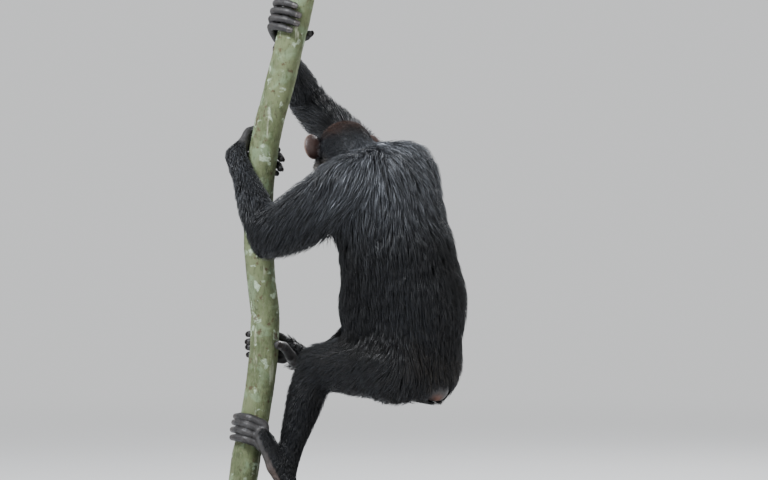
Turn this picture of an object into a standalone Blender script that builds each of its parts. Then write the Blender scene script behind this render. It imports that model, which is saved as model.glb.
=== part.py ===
"""Life-size still model of an adult female chimpanzee climbing a slender trunk, on a display stand.

Metres, +Z up. The origin lies on the floor under the middle of the stand's base. The animal is seen from its
back and left by someone who looks along +Y, and its chest faces the trunk, between -X and +Y.
The solids give the outline of the coat, out to the tips of the hair. Limbs and muscle masses are fused and
smoothed into a whole body, which is then parted with thin cuts at the joints. The head, hands and feet are
fused again on a finer grid, and what grips the trunk is hollowed to fit round it.
"""

import math

import bmesh
import bpy
from mathutils import Matrix, Vector

# Gaps: a cut between two parts of the body, a grip round the trunk, and pieces that rest on each other
CUT = 0.0004
GRIP_GAP = 0.0005
REST_GAP = 0.0003

# Grids that the masses are fused on, and the triangles left of each piece
TORSO_GRID = 0.009
BODY_GRID = 0.006
HEAD_GRID = 0.0035
DIGIT_GRID = 0.0022
BODY_TRIANGLES = 2050
HEAD_TRIANGLES = 900
GRIP_TRIANGLES = 880
EAR_TRIANGLES = 150

# The cut length of trunk: its radius, and its centreline from the cut foot to the cut top
TRUNK_RADIUS = 0.0355
TRUNK_LINE = [
    (-0.258, 0.030, 0.088),
    (-0.253, 0.030, 0.150),
    (-0.243, 0.030, 0.215),
    (-0.226, 0.030, 0.290),
    (-0.213, 0.030, 0.370),
    (-0.202, 0.030, 0.460),
    (-0.200, 0.030, 0.540),
    (-0.209, 0.030, 0.620),
    (-0.216, 0.030, 0.700),
    (-0.217, 0.030, 0.775),
    (-0.213, 0.030, 0.850),
    (-0.204, 0.030, 0.930),
    (-0.190, 0.030, 1.000),
    (-0.170, 0.030, 1.070),
    (-0.150, 0.030, 1.150),
    (-0.131, 0.030, 1.230),
    (-0.111, 0.030, 1.320),
]

# The display stand: a square base, and two short rods up to the foot of the trunk
BASE_SIDE = 0.72
BASE_HEIGHT = 0.024
BASE_BEVEL = 0.004
ROD_RADIUS = 0.011
ROD_SPACING = 0.036

# Joints of the skeleton
PELVIS = Vector((0.155, -0.140, 0.428))
CHEST = Vector((0.093, -0.120, 0.785))
NECK_BASE = Vector((0.072, -0.095, 0.885))
HEAD = Vector((-0.016, -0.020, 0.930))
HIP = {"left": Vector((0.108, -0.196, 0.425)), "right": Vector((0.168, -0.066, 0.430))}
KNEE = {"left": Vector((-0.080, -0.012, 0.425)), "right": Vector((0.100, 0.155, 0.550))}
ANKLE = {"left": Vector((-0.155, -0.010, 0.180)), "right": Vector((-0.076, 0.095, 0.428))}
SHOULDER = {"left": Vector((-0.005, -0.230, 0.858)), "right": Vector((0.036, 0.115, 0.912))}
ELBOW = {"left": Vector((-0.196, -0.102, 0.736)), "right": Vector((-0.108, 0.292, 1.056))}
WRIST = {"left": Vector((-0.268, 0.000, 0.915)), "right": Vector((-0.160, 0.100, 1.170))}

# Digits, as (degrees round the trunk from +X towards +Y, height on the trunk's line, distance off the bark)
FINGER_RADIUS = 0.0092
TOE_RADIUS = 0.0095
FINGERS = {
    "left": [
        [(172, 0.938, 0.008), (140, 0.950, 0.003), (97, 0.955, 0.008), (70, 0.946, 0.001), (52, 0.939, 0.0)],
        [(174, 0.925, 0.009), (142, 0.931, 0.003), (90, 0.934, 0.009), (42, 0.922, 0.001), (9, 0.914, 0.0)],
        [(176, 0.910, 0.009), (144, 0.912, 0.003), (91, 0.913, 0.009), (40, 0.900, 0.001), (5, 0.891, 0.0)],
        [(178, 0.897, 0.007), (146, 0.894, 0.003), (99, 0.893, 0.007), (66, 0.885, 0.001), (46, 0.880, 0.0)],
    ],
    "right": [
        [
            (112, 1.208, 0.008), (128, 1.243, 0.004), (188, 1.264, 0.008),
            (232, 1.268, 0.001), (262, 1.266, 0.0),
        ],
        [
            (110, 1.200, 0.009), (130, 1.224, 0.005), (188, 1.245, 0.010),
            (238, 1.249, 0.001), (278, 1.246, 0.0),
        ],
        [
            (108, 1.192, 0.009), (132, 1.204, 0.005), (188, 1.226, 0.010),
            (238, 1.230, 0.001), (278, 1.227, 0.0),
        ],
        [
            (107, 1.184, 0.007), (134, 1.186, 0.004), (188, 1.208, 0.008),
            (232, 1.211, 0.001), (263, 1.209, 0.0),
        ],
    ],
}
THUMBS = {
    "left": [(186, 0.935, 0.006), (164, 0.962, 0.004), (138, 0.974, 0.0)],
    "right": [(84, 1.190, 0.006), (52, 1.205, 0.004), (28, 1.214, 0.0)],
}
TOES = {
    "left": [
        [(301, 0.278, 0.010), (298, 0.290, 0.008), (262, 0.298, 0.005), (228, 0.298, 0.0), (205, 0.296, 0.0)],
        [(301, 0.265, 0.011), (298, 0.274, 0.009), (258, 0.281, 0.006), (224, 0.281, 0.0), (200, 0.279, 0.0)],
        [(302, 0.252, 0.011), (298, 0.258, 0.009), (256, 0.264, 0.006), (224, 0.264, 0.0), (202, 0.262, 0.0)],
        [(303, 0.240, 0.010), (299, 0.243, 0.008), (262, 0.248, 0.004), (232, 0.247, 0.0), (213, 0.245, 0.0)],
    ],
    "right": [
        [(34, 0.474, 0.018), (44, 0.487, 0.009), (85, 0.495, 0.006), (122, 0.496, 0.0), (144, 0.494, 0.0)],
        [(35, 0.464, 0.018), (44, 0.471, 0.010), (86, 0.478, 0.007), (124, 0.478, 0.0), (147, 0.476, 0.0)],
        [(36, 0.454, 0.018), (45, 0.455, 0.010), (86, 0.461, 0.007), (122, 0.461, 0.0), (144, 0.459, 0.0)],
        [(37, 0.444, 0.017), (46, 0.440, 0.008), (84, 0.445, 0.005), (116, 0.444, 0.0), (136, 0.442, 0.0)],
    ],
}
BIG_TOES = {
    "left": [(330, 0.218, 0.026), (2, 0.236, 0.012), (44, 0.256, 0.003), (76, 0.262, 0.0)],
    "right": [(24, 0.438, 0.036), (4, 0.452, 0.016), (340, 0.466, 0.004), (316, 0.472, 0.0)],
}
# The heel, the instep and the ball of each foot, with their radii
SOLES = {
    "left": [
        ((-0.146, -0.022, 0.140), 0.023),
        ((-0.172, -0.024, 0.190), 0.024),
        ((-0.204, -0.024, 0.258), 0.019),
    ],
    "right": [
        ((-0.062, 0.106, 0.394), 0.022),
        ((-0.100, 0.086, 0.430), 0.023),
        ((-0.140, 0.066, 0.462), 0.018),
    ],
}


def axes(front, up, keep_up=True):
    """Rotation whose columns are a piece's front, left and up, with up (or else front) kept exactly."""
    front, up = Vector(front).normalized(), Vector(up).normalized()
    left = up.cross(front).normalized()
    return Matrix((left.cross(up), left, up) if keep_up else (front, left, front.cross(left))).transposed()


def heading(yaw, pitch=0):
    """Horizontal direction turned by yaw from +Y towards -X, raised by pitch, both in degrees."""
    yaw, pitch = math.radians(yaw), math.radians(pitch)
    return Vector((-math.sin(yaw) * math.cos(pitch), math.cos(yaw) * math.cos(pitch), math.sin(pitch)))


TORSO_AXES = axes(heading(52), NECK_BASE - PELVIS)
HEAD_AXES = axes(heading(24, -12), (0, 0, 1), keep_up=False)

# Muscle masses as ((front, left, up) from a centre, (front, left, up) radii)
TORSO_MASSES = [
    (CHEST, (0.005, 0.000, 0.000), (0.130, 0.151, 0.171)),
    (CHEST, (-0.044, 0.074, 0.070), (0.072, 0.084, 0.086)),
    (CHEST, (-0.042, -0.055, 0.086), (0.070, 0.078, 0.084)),
    (CHEST, (0.000, -0.100, 0.088), (0.076, 0.072, 0.072)),
    (CHEST, (0.035, 0.045, 0.020), (0.091, 0.091, 0.101)),
    (CHEST, (0.035, -0.055, 0.030), (0.091, 0.091, 0.101)),
    (CHEST, (0.000, 0.000, -0.110), (0.142, 0.144, 0.156)),
    (PELVIS, (-0.016, 0.000, 0.150), (0.140, 0.140, 0.156)),
    (PELVIS, (0.045, 0.000, 0.140), (0.134, 0.128, 0.131)),
    (PELVIS, (-0.004, 0.000, 0.030), (0.110, 0.124, 0.106)),
    (PELVIS, (-0.008, 0.052, -0.008), (0.080, 0.070, 0.085)),
    (PELVIS, (-0.008, -0.052, -0.008), (0.080, 0.070, 0.085)),
    (PELVIS, (-0.056, 0.008, -0.068), (0.036, 0.034, 0.044)),
]
HEAD_MASSES = [
    ((-0.012, 0.000, 0.008), (0.076, 0.063, 0.060)),
    ((-0.040, 0.000, -0.012), (0.055, 0.058, 0.052)),
    ((0.035, 0.000, 0.006), (0.038, 0.050, 0.036)),
    ((0.020, 0.000, -0.045), (0.048, 0.056, 0.050)),
    ((0.048, 0.034, -0.034), (0.026, 0.020, 0.022)),
    ((0.048, -0.034, -0.034), (0.026, 0.020, 0.022)),
    ((0.072, 0.000, -0.058), (0.050, 0.037, 0.031)),
    ((0.058, 0.000, -0.077), (0.054, 0.034, 0.023)),
    ((0.090, 0.000, -0.034), (0.018, 0.016, 0.010)),
    ((0.070, 0.000, -0.016), (0.020, 0.010, 0.016)),
]
BROW = [
    (0.052, 0.050, 0.002),
    (0.067, 0.030, 0.012),
    (0.070, 0.000, 0.008),
    (0.067, -0.030, 0.012),
    (0.052, -0.050, 0.002),
]
BROW_RADII = (0.0085, 0.0110, 0.0090, 0.0110, 0.0085)
EYE = (0.058, 0.028, -0.008)
EYEBALL_RADIUS = 0.0112
EAR = (0.004, 0.076, 0.006)
EAR_HEIGHT = 0.060
EAR_WIDTH = 0.048
EAR_DEPTH = 0.018
EAR_RIM = 0.0035
EAR_FLARE = 75

# The cuts: the plane between head and neck in the head's frame, how far the neck reaches from the nape, and
# how the cuts at the shoulders and hips tilt outwards
HEAD_CUT = ((-0.052, -0.012, -0.036), (0.75, 0.35, 0.55))
NECK_REACH = 0.092
# The room that the raised right shoulder leaves round the ear and the cheek, as (place in the head, radius)
SHOULDER_POCKETS = [((0.004, -0.076, 0.006), 0.035), ((0.024, -0.016, -0.022), 0.072)]
SHOULDER_TILT = {"left": 0.8, "right": 0.0}
HIP_TILT = 0.7
HIP_CUT_RADIUS = {"left": 0.150, "right": 0.135}
KNEE_CUT_RADIUS = {"left": 0.090, "right": 0.132}
END_CUT_RADIUS = 0.048

# Colour and roughness (and how metallic) of the nodes, by the start of their names
FINISHES = {
    "hand": ((0.045, 0.040, 0.038), 0.60),
    "foot": ((0.045, 0.040, 0.038), 0.60),
    "ear": ((0.110, 0.060, 0.050), 0.60),
    "eye": ((0.035, 0.018, 0.010), 0.15),
    "perch": ((0.200, 0.210, 0.150), 0.90),
    "stand_base": ((0.220, 0.220, 0.220), 0.55),
    "stand_rod": ((0.450, 0.450, 0.460), 0.35, 1.0),
    "": ((0.020, 0.020, 0.022), 0.80),
}

# Coat radii along each limb, from its upper joint to its lower one
UPPER_ARM_RADII = (0.064, 0.062, 0.056, 0.050)
FRINGE_RADII = (0.056, 0.060, 0.054, 0.044)
FRINGE_DROP = {"left": Vector((0, 0, -0.040)), "right": Vector((0, 0, -0.016))}
TRAPEZIUS_RADII = {"left": (0.056, 0.054, 0.056), "right": (0.080, 0.074, 0.062)}
SHOULDER_BLADE = (-0.010, -0.080, 0.078)
NAPE = (-0.030, 0.000, -0.030)
FOREARM_RADII = (0.052, 0.050, 0.037, 0.026)
THIGH_RADII = (0.088, 0.078, 0.068, 0.054)
SHIN_RADII = (0.052, 0.049, 0.038, 0.028)
ANKLE_RADII = (0.027, 0.026, 0.024)
# What smoothing takes off the body's limbs, where the hands and feet meet them
END_SHRINK = 0.94
NECK_RADII = (0.082, 0.072, 0.062)


def clear_scene():
    for obj in list(bpy.data.objects):
        bpy.data.objects.remove(obj, do_unlink=True)


def new_collection(name):
    made = bpy.data.collections.new(name)
    bpy.context.scene.collection.children.link(made)
    return made


def new_material(name, colour, roughness, metallic=0.0):
    made = bpy.data.materials.new(name)
    made.use_nodes = True
    shader = made.node_tree.nodes["Principled BSDF"]
    shader.inputs["Base Color"].default_value = (*colour, 1)
    shader.inputs["Roughness"].default_value = roughness
    shader.inputs["Metallic"].default_value = metallic
    return made


def new_object(name, data):
    obj = bpy.data.objects.new(name, data)
    bpy.context.scene.collection.objects.link(obj)
    return obj


def baked(obj, name=None):
    """A new object from the old one's evaluated mesh in world space. The old one is removed."""
    bpy.context.view_layer.update()
    evaluated = obj.evaluated_get(bpy.context.evaluated_depsgraph_get())
    mesh = bpy.data.meshes.new_from_object(evaluated)
    mesh.transform(obj.matrix_world)
    name = name or obj.name
    bpy.data.objects.remove(obj, do_unlink=True)
    return new_object(name, mesh)


def edit(obj, change):
    """Runs one change on the object's mesh, opened as a bmesh."""
    shape = bmesh.new()
    shape.from_mesh(obj.data)
    change(shape)
    shape.to_mesh(obj.data)
    shape.free()
    return obj


def face_outwards(shape):
    bmesh.ops.recalc_face_normals(shape, faces=shape.faces)


def join(helpers, name):
    """All the helpers' meshes in one object, overlapping as they are."""
    joined = bmesh.new()
    for helper in helpers:
        part = baked(helper)
        joined.from_mesh(part.data)
        bpy.data.objects.remove(part, do_unlink=True)
    mesh = bpy.data.meshes.new(name)
    joined.to_mesh(mesh)
    joined.free()
    return new_object(name, mesh)


def smooth_line(points, steps=6):
    """Points of a Catmull-Rom curve through the given points."""
    points = [Vector(p) for p in points]
    ends = [2 * points[0] - points[1]] + points + [2 * points[-1] - points[-2]]
    line = []
    for a, b, c, d in zip(ends, ends[1:], ends[2:], ends[3:]):
        for i in range(steps):
            t = i / steps
            linear = (c - a) * t
            square = (2 * a - 5 * b + 4 * c - d) * t**2
            cube = (3 * b - a - 3 * c + d) * t**3
            line.append(b + 0.5 * (linear + square + cube))
    return line + [points[-1]]


def tube(line, radii, name="tube"):
    """A round tube through the points, capped at both ends."""
    curve = bpy.data.curves.new(name, "CURVE")
    curve.dimensions = "3D"
    curve.bevel_depth = 1.0
    curve.bevel_resolution = 4
    curve.use_fill_caps = True
    spline = curve.splines.new("POLY")
    spline.points.add(len(line) - 1)
    for point, place, radius in zip(spline.points, line, radii):
        point.co = (*place, 1)
        point.radius = radius
    return welded(baked(new_object(name, curve)), 0.00005)


def ball(centre, radii, frame=None, segments=32):
    """An ellipsoid, with its radii along the columns of the frame."""
    bpy.ops.mesh.primitive_uv_sphere_add(segments=segments, ring_count=segments // 2 + 2)
    made = bpy.context.object
    frame = frame or Matrix.Identity(3)
    made.matrix_world = Matrix.Translation(centre) @ frame.to_4x4() @ Matrix.Diagonal((*radii, 1))
    return made


def limb(points, radii, steps=6):
    """A tube with round ends along a smooth line, as thick at each point as its radius says."""
    line = smooth_line([(*p, r) for p, r in zip(points, radii)], steps)
    places = [Vector(p[:3]) for p in line]
    sizes = [p[3] for p in line]
    ends = [ball(places[i], (sizes[i],) * 3) for i in (0, -1)]
    return [tube(places, sizes), *ends]


def welded(obj, reach):
    """The object with vertices nearer than the reach made one."""
    return edit(obj, lambda shape: bmesh.ops.remove_doubles(shape, verts=shape.verts, dist=reach))


def thinned(obj, triangles):
    """The object with about that many triangles."""
    obj = welded(obj, 0.0002)
    thin = obj.modifiers.new("thin", "DECIMATE")
    thin.ratio = triangles / sum(len(face.vertices) - 2 for face in obj.data.polygons)
    return baked(obj)


def fuse(name, helpers, grid, smoothing):
    """One smooth closed mesh round all the helpers."""
    joined = join(helpers, name)
    remesh = joined.modifiers.new("fuse", "REMESH")
    remesh.mode = "VOXEL"
    remesh.voxel_size = grid
    smooth = joined.modifiers.new("smooth", "SMOOTH")
    smooth.factor = 0.5
    smooth.iterations = smoothing
    return baked(joined)


def boolean(obj, cutter, operation="DIFFERENCE", keep_cutter=False):
    """The object after one exact Boolean, under the same name."""
    modifier = obj.modifiers.new("boolean", "BOOLEAN")
    modifier.object = cutter
    modifier.operation = operation
    modifier.solver = "EXACT"
    made = edit(baked(obj), face_outwards)
    if not keep_cutter:
        bpy.data.objects.remove(cutter, do_unlink=True)
    return made


def disc(centre, normal, radius, thickness=CUT):
    """A round cutter square to the normal."""
    bpy.ops.mesh.primitive_cylinder_add(vertices=32, radius=radius, depth=thickness)
    cutter = bpy.context.object
    turn = Vector(normal).to_track_quat("Z", "Y").to_matrix().to_4x4()
    cutter.matrix_world = Matrix.Translation(centre) @ turn
    return cutter


def inflated(obj, amount):
    """A copy of the object, swollen by the amount."""
    copy = new_object("swollen", obj.data.copy())
    swell = copy.modifiers.new("swell", "DISPLACE")
    swell.strength = amount
    swell.mid_level = 0
    return baked(copy)


def islands(shape):
    """The separate bodies of a bmesh, as sets of vertices, smallest first."""
    unseen = set(shape.verts)
    found = []
    while unseen:
        body, edge = set(), [unseen.pop()]
        while edge:
            vert = edge.pop()
            body.add(vert)
            near = {e.other_vert(vert) for e in vert.link_edges} & unseen
            unseen -= near
            edge.extend(near)
        found.append(body)
    return sorted(found, key=len)


def distance(body, place):
    """How far the middle of a body's vertices is from a place."""
    return (sum((vert.co for vert in body), Vector()) / len(body) - place).length


def one_island(obj, name, place=None, keep_source=False):
    """A new object with the largest separate body, or with the one whose middle is nearest to the place."""

    def keep(shape):
        found = islands(shape)
        chosen = min(found, key=lambda body: distance(body, place)) if place else found[-1]
        for body in found:
            if body is not chosen:
                bmesh.ops.delete(shape, geom=list(body), context="VERTS")

    data = obj.data.copy()
    if not keep_source:
        bpy.data.objects.remove(obj, do_unlink=True)
    return edit(new_object(name, data), keep)


def trunk_frame(height):
    """The trunk's centre at a height, and its axis."""
    points = [Vector(p) for p in TRUNK_LINE]
    for a, b in zip(points, points[1:]):
        if height <= b.z or b is points[-1]:
            share = (height - a.z) / (b.z - a.z)
            return a.lerp(b, share), (b - a).normalized()
    return None


def round_trunk(angle, height, off_bark, radius):
    """The centre of something of that radius held at an angle round the trunk."""
    centre, axis = trunk_frame(height)
    across = Vector((1, 0, 0))
    across = (across - across.dot(axis) * axis).normalized()
    turn = math.radians(angle)
    out = across * math.cos(turn) + axis.cross(across) * math.sin(turn)
    return centre + out * (TRUNK_RADIUS + radius + off_bark)


def digit(root, path, radius, root_scale=1.25, tip_scale=0.84):
    """A finger or toe from its root inside the hand or foot, round the trunk to its tip."""
    points = [root] + [round_trunk(*place, radius * 0.9) for place in path]
    last = len(points) - 1
    radii = [radius * (root_scale + (tip_scale - root_scale) * i / last) for i in range(len(points))]
    return limb(points, radii, 4)


def limb_points(start, end):
    """Four evenly spaced points from one joint to the next."""
    return [start.lerp(end, share) for share in (0, 0.33, 0.67, 1)]


def in_head(place):
    return HEAD + HEAD_AXES @ Vector(place)


def mirrored(place, side):
    """A place given for the left, on the side asked for."""
    front, left, up = place
    return Vector((front, left if side == "left" else -left, up))


def torso_helpers():
    helpers = [ball(c + TORSO_AXES @ Vector(at), size, TORSO_AXES) for c, at, size in TORSO_MASSES]
    for side, root in (("left", NECK_BASE), ("right", in_torso(CHEST, SHOULDER_BLADE))):
        helpers += limb([root, root.lerp(SHOULDER[side], 0.5), SHOULDER[side]], TRAPEZIUS_RADII[side])
    return helpers + neck_helpers()


def neck_helpers():
    nape = in_head(NAPE)
    return limb([NECK_BASE, NECK_BASE.lerp(nape, 0.5), nape], NECK_RADII)


def head_helpers():
    helpers = [ball(in_head(at), size, HEAD_AXES) for at, size in HEAD_MASSES]
    return helpers + limb([in_head(at) for at in BROW], BROW_RADII) + neck_helpers()


def arm_helpers(side):
    shoulder, elbow, wrist, drop = SHOULDER[side], ELBOW[side], WRIST[side], FRINGE_DROP[side]
    fringe = [p + drop * share for p, share in zip(limb_points(shoulder, elbow), (0.3, 1, 1, 0.6))]
    helpers = limb(limb_points(shoulder, elbow), UPPER_ARM_RADII)
    helpers += limb(fringe, FRINGE_RADII)
    return helpers + limb(limb_points(elbow, wrist), FOREARM_RADII)


def leg_helpers(side):
    hip, knee, ankle = HIP[side], KNEE[side], ANKLE[side]
    return limb(limb_points(hip, knee), THIGH_RADII) + limb(limb_points(knee, ankle), SHIN_RADII)


def hand_helpers(side):
    elbow, wrist = ELBOW[side], WRIST[side]
    helpers = limb(limb_points(elbow, wrist), [radius * END_SHRINK for radius in FOREARM_RADII])
    for path in FINGERS[side]:
        helpers += digit(wrist, path, FINGER_RADIUS)
    return helpers + digit(wrist, THUMBS[side], FINGER_RADIUS * 1.1)


def foot_helpers(side):
    knee, ankle = KNEE[side], ANKLE[side]
    points, radii = zip(*SOLES[side])
    heel, instep, sole_ball = [Vector(p) for p in points]
    helpers = limb(limb_points(knee, ankle), [radius * END_SHRINK for radius in SHIN_RADII])
    helpers += limb([heel, instep, sole_ball], radii)
    helpers += limb([ankle, ankle.lerp(instep, 0.5), instep], ANKLE_RADII)
    for path in TOES[side]:
        helpers += digit(sole_ball, path, TOE_RADIUS)
    return helpers + digit(instep, BIG_TOES[side], TOE_RADIUS * 1.3)


def ear(side):
    """A cupped ear that stands out from the side of the head."""
    flare = math.radians(EAR_FLARE)
    outward = HEAD_AXES @ mirrored((-math.cos(flare), math.sin(flare), 0), side)
    hollow = HEAD_AXES @ mirrored((math.sin(flare), math.cos(flare), 0), side)
    frame = Matrix((hollow, outward, HEAD_AXES.col[2])).transposed()
    centre = HEAD + HEAD_AXES @ mirrored(EAR, side)
    radii = Vector((EAR_DEPTH / 2, EAR_WIDTH / 2, EAR_HEIGHT / 2))
    cup = ball(centre, radii, frame)
    bowl = ball(centre + hollow * EAR_DEPTH * 0.36, radii - Vector((0, EAR_RIM, EAR_RIM)), frame)
    return boolean(cup, bowl)


def trunk(radius, name):
    """The trunk along its line, cut level at its foot and its top."""
    line = [Vector(p) for p in TRUNK_LINE]
    bottom, top = line[0], line[-1]
    line = [bottom + (bottom - line[1])] + line + [top + (top - line[-2])]
    made = tube(line, [radius] * len(line), name)

    def cut_level(shape):
        for place, direction in ((bottom, (0, 0, -1)), (top, (0, 0, 1))):
            everything = shape.verts[:] + shape.edges[:] + shape.faces[:]
            cut = bmesh.ops.bisect_plane(
                shape, geom=everything, plane_co=place, plane_no=direction, clear_outer=True, dist=0.00001
            )
            edges = [g for g in cut["geom_cut"] if isinstance(g, bmesh.types.BMEdge)]
            bmesh.ops.contextual_create(shape, geom=edges)
        face_outwards(shape)

    return edit(made, cut_level)


def bend_cut(above, joint, below):
    """The plane through a bent joint that parts the bone below from the bone above."""
    return joint, (below - joint).normalized() - (above - joint).normalized()


def end_cut(end, side):
    """The centre and normal of the cut above a hand or foot. The foot's leans into the ankle's fold."""
    if end == "hand":
        return ELBOW[side].lerp(WRIST[side], 0.90), WRIST[side] - ELBOW[side]
    heel, _instep, sole_ball = [Vector(place) for place, _radius in SOLES[side]]
    down = (ANKLE[side] - KNEE[side]).normalized()
    return KNEE[side].lerp(ANKLE[side], 0.85), down + 0.6 * (sole_ball - heel).normalized()


def joint_cuts():
    """The thin cuts of the body as (centre, normal, radius), from the ends of the limbs inwards."""
    cuts = [(*end_cut(end, side), END_CUT_RADIUS) for end in ("hand", "foot") for side in ("left", "right")]
    for side in ("left", "right"):
        cuts.append((*bend_cut(SHOULDER[side], ELBOW[side], WRIST[side]), 0.115))
        cuts.append((*bend_cut(HIP[side], KNEE[side], ANKLE[side]), KNEE_CUT_RADIUS[side]))
    for side in ("left", "right"):
        outward = TORSO_AXES @ mirrored((0, 1, 0), side)
        arm = (ELBOW[side] - SHOULDER[side]).normalized()
        thigh = (KNEE[side] - HIP[side]).normalized()
        fold = thigh - 0.7 * TORSO_AXES.col[2] + HIP_TILT * outward
        cuts.append((SHOULDER[side].lerp(ELBOW[side], 0.35), arm + SHOULDER_TILT[side] * outward, 0.120))
        cuts.append((HIP[side] + 0.09 * thigh, fold, HIP_CUT_RADIUS[side]))
    cuts.append((in_torso(PELVIS, (0.030, 0, 0.120)), TORSO_AXES @ Vector((-0.4, 0.15, 1)), 0.180))
    cuts.append((in_torso(PELVIS, (0, 0, 0.235)), TORSO_AXES.col[2], 0.200))
    return cuts


def in_torso(joint, place):
    return joint + TORSO_AXES @ Vector(place)


def body_marks():
    """A place in the middle of each node that the cut body leaves."""
    marks = {
        "chest": CHEST,
        "belly": in_torso(PELVIS, (0, 0, 0.180)),
        "hips": PELVIS,
    }
    for side in ("left", "right"):
        marks["upper_arm_" + side] = SHOULDER[side].lerp(ELBOW[side], 0.65)
        marks["forearm_" + side] = ELBOW[side].lerp(WRIST[side], 0.5)
        marks["thigh_" + side] = HIP[side].lerp(KNEE[side], 0.65)
        marks["shin_" + side] = KNEE[side].lerp(ANKLE[side], 0.5)
    return marks


def model_body(grip):
    """The body's nodes, from the neck to the ankles and wrists."""
    helpers = [fuse("torso", torso_helpers(), TORSO_GRID, 60)]
    for side in ("left", "right"):
        helpers += arm_helpers(side) + leg_helpers(side)
    body = thinned(fuse("body", helpers, BODY_GRID, 20), BODY_TRIANGLES)
    body = one_island(boolean(body, grip, keep_cutter=True), "body")
    for centre, normal, radius in joint_cuts():
        body = boolean(body, disc(centre, normal, radius))
    nodes = {name: one_island(body, name, place, keep_source=True) for name, place in body_marks().items()}
    bpy.data.objects.remove(body, do_unlink=True)
    nape = in_head(NAPE)
    collar = new_object("collar", nodes["chest"].data.copy())
    collar = boolean(collar, ball(nape, (NECK_REACH,) * 3, segments=16), "INTERSECT")
    nodes["neck"] = one_island(boolean(collar, half_space(*HEAD_CUT, 1)), "neck")
    for place, reach in [(NAPE, NECK_REACH + CUT), *SHOULDER_POCKETS]:
        pocket = ball(in_head(place), (reach,) * 3, segments=16)
        nodes["chest"] = one_island(boolean(nodes["chest"], pocket), "chest")
    return list(nodes.values())


def half_space(centre, normal, sign):
    """A thick cutter that takes away all on one side of a plane in the head's frame, less half a cut."""
    centre = in_head(centre)
    normal = (HEAD_AXES @ Vector(normal)).normalized() * sign
    return disc(centre + normal * (0.2 - CUT / 2), normal, 0.3, 0.4)


def model_head():
    """The head with its eyes set in it and its ears beside it."""
    head = boolean(fuse("head", head_helpers(), HEAD_GRID, 4), half_space(*HEAD_CUT, -1))
    head = thinned(head, HEAD_TRIANGLES)
    nodes = []
    for side in ("left", "right"):
        centre = HEAD + HEAD_AXES @ mirrored(EYE, side)
        head = boolean(head, ball(centre, (EYEBALL_RADIUS + REST_GAP,) * 3, segments=12))
        nodes.append(baked(ball(centre, (EYEBALL_RADIUS,) * 3, segments=12), "eye_" + side))
    head = one_island(head, "head")
    for side in ("left", "right"):
        attached = boolean(thinned(ear(side), EAR_TRIANGLES), inflated(head, REST_GAP))
        nodes.append(one_island(attached, "ear_" + side))
    return nodes + [head]


def model_grips(grip):
    """The hands and the feet, hollowed to fit round the trunk."""
    nodes = []
    for side in ("left", "right"):
        limbs = [("hand", hand_helpers, WRIST[side]), ("foot", foot_helpers, ANKLE[side])]
        for end, helpers, place in limbs:
            whole = thinned(fuse("whole", helpers(side), DIGIT_GRID, 3), GRIP_TRIANGLES)
            parted = boolean(whole, disc(*end_cut(end, side), END_CUT_RADIUS))
            piece = one_island(parted, "piece", place)
            nodes.append(one_island(boolean(piece, grip, keep_cutter=True), end + "_" + side))
    return nodes


def model_stand():
    """The base, and the two rods that carry the trunk."""
    bpy.ops.mesh.primitive_cube_add(size=1)
    base = bpy.context.object
    base.scale = (BASE_SIDE, BASE_SIDE, BASE_HEIGHT)
    base.location = (0, 0, BASE_HEIGHT / 2)
    base = baked(base, "stand_base")
    bevel = base.modifiers.new("bevel", "BEVEL")
    bevel.width = BASE_BEVEL
    bevel.segments = 2
    nodes = [baked(base)]
    foot = Vector(TRUNK_LINE[0])
    bottom, top = BASE_HEIGHT + REST_GAP, foot.z - REST_GAP
    for name, way in (("stand_rod_front", -1), ("stand_rod_back", 1)):
        bpy.ops.mesh.primitive_cylinder_add(vertices=24, radius=ROD_RADIUS, depth=top - bottom)
        rod = bpy.context.object
        rod.location = (foot.x, foot.y + way * ROD_SPACING / 2, (top + bottom) / 2)
        nodes.append(baked(rod, name))
    return nodes


def finish(nodes):
    """Puts the nodes in their collection, with smooth shading and a material each."""
    home = new_collection("climbing_chimpanzee")
    for obj in nodes:
        bpy.context.scene.collection.objects.unlink(obj)
        home.objects.link(obj)
        obj.data.shade_smooth()
        obj.data.set_sharp_from_angle(angle=math.radians(45))
        finish_of = next(value for key, value in FINISHES.items() if obj.name.startswith(key))
        obj.data.materials.clear()
        obj.data.materials.append(new_material(obj.name, *finish_of))


def main():
    clear_scene()
    grip = trunk(TRUNK_RADIUS + GRIP_GAP, "grip")
    nodes = model_body(grip) + model_head() + model_grips(grip) + model_stand()
    bpy.data.objects.remove(grip, do_unlink=True)
    nodes.append(trunk(TRUNK_RADIUS, "perch_trunk"))
    finish(nodes)


main()
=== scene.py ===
import math

import bmesh
import bpy
import numpy as np
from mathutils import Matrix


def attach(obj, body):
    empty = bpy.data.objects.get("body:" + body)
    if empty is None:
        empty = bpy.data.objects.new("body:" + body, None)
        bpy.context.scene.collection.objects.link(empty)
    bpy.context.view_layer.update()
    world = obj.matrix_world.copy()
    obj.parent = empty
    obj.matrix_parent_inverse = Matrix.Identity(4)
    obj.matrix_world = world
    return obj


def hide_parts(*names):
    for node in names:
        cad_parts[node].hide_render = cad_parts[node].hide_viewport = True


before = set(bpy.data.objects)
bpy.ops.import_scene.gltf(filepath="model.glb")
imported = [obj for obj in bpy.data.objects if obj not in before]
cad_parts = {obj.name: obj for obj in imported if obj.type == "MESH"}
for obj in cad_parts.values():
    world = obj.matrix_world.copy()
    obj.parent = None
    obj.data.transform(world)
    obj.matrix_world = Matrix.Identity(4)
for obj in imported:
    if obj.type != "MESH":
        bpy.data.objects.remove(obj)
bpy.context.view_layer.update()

import openvdb as vdb
from mathutils import Vector
from mathutils.kdtree import KDTree

RNG = np.random.default_rng(20)

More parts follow.
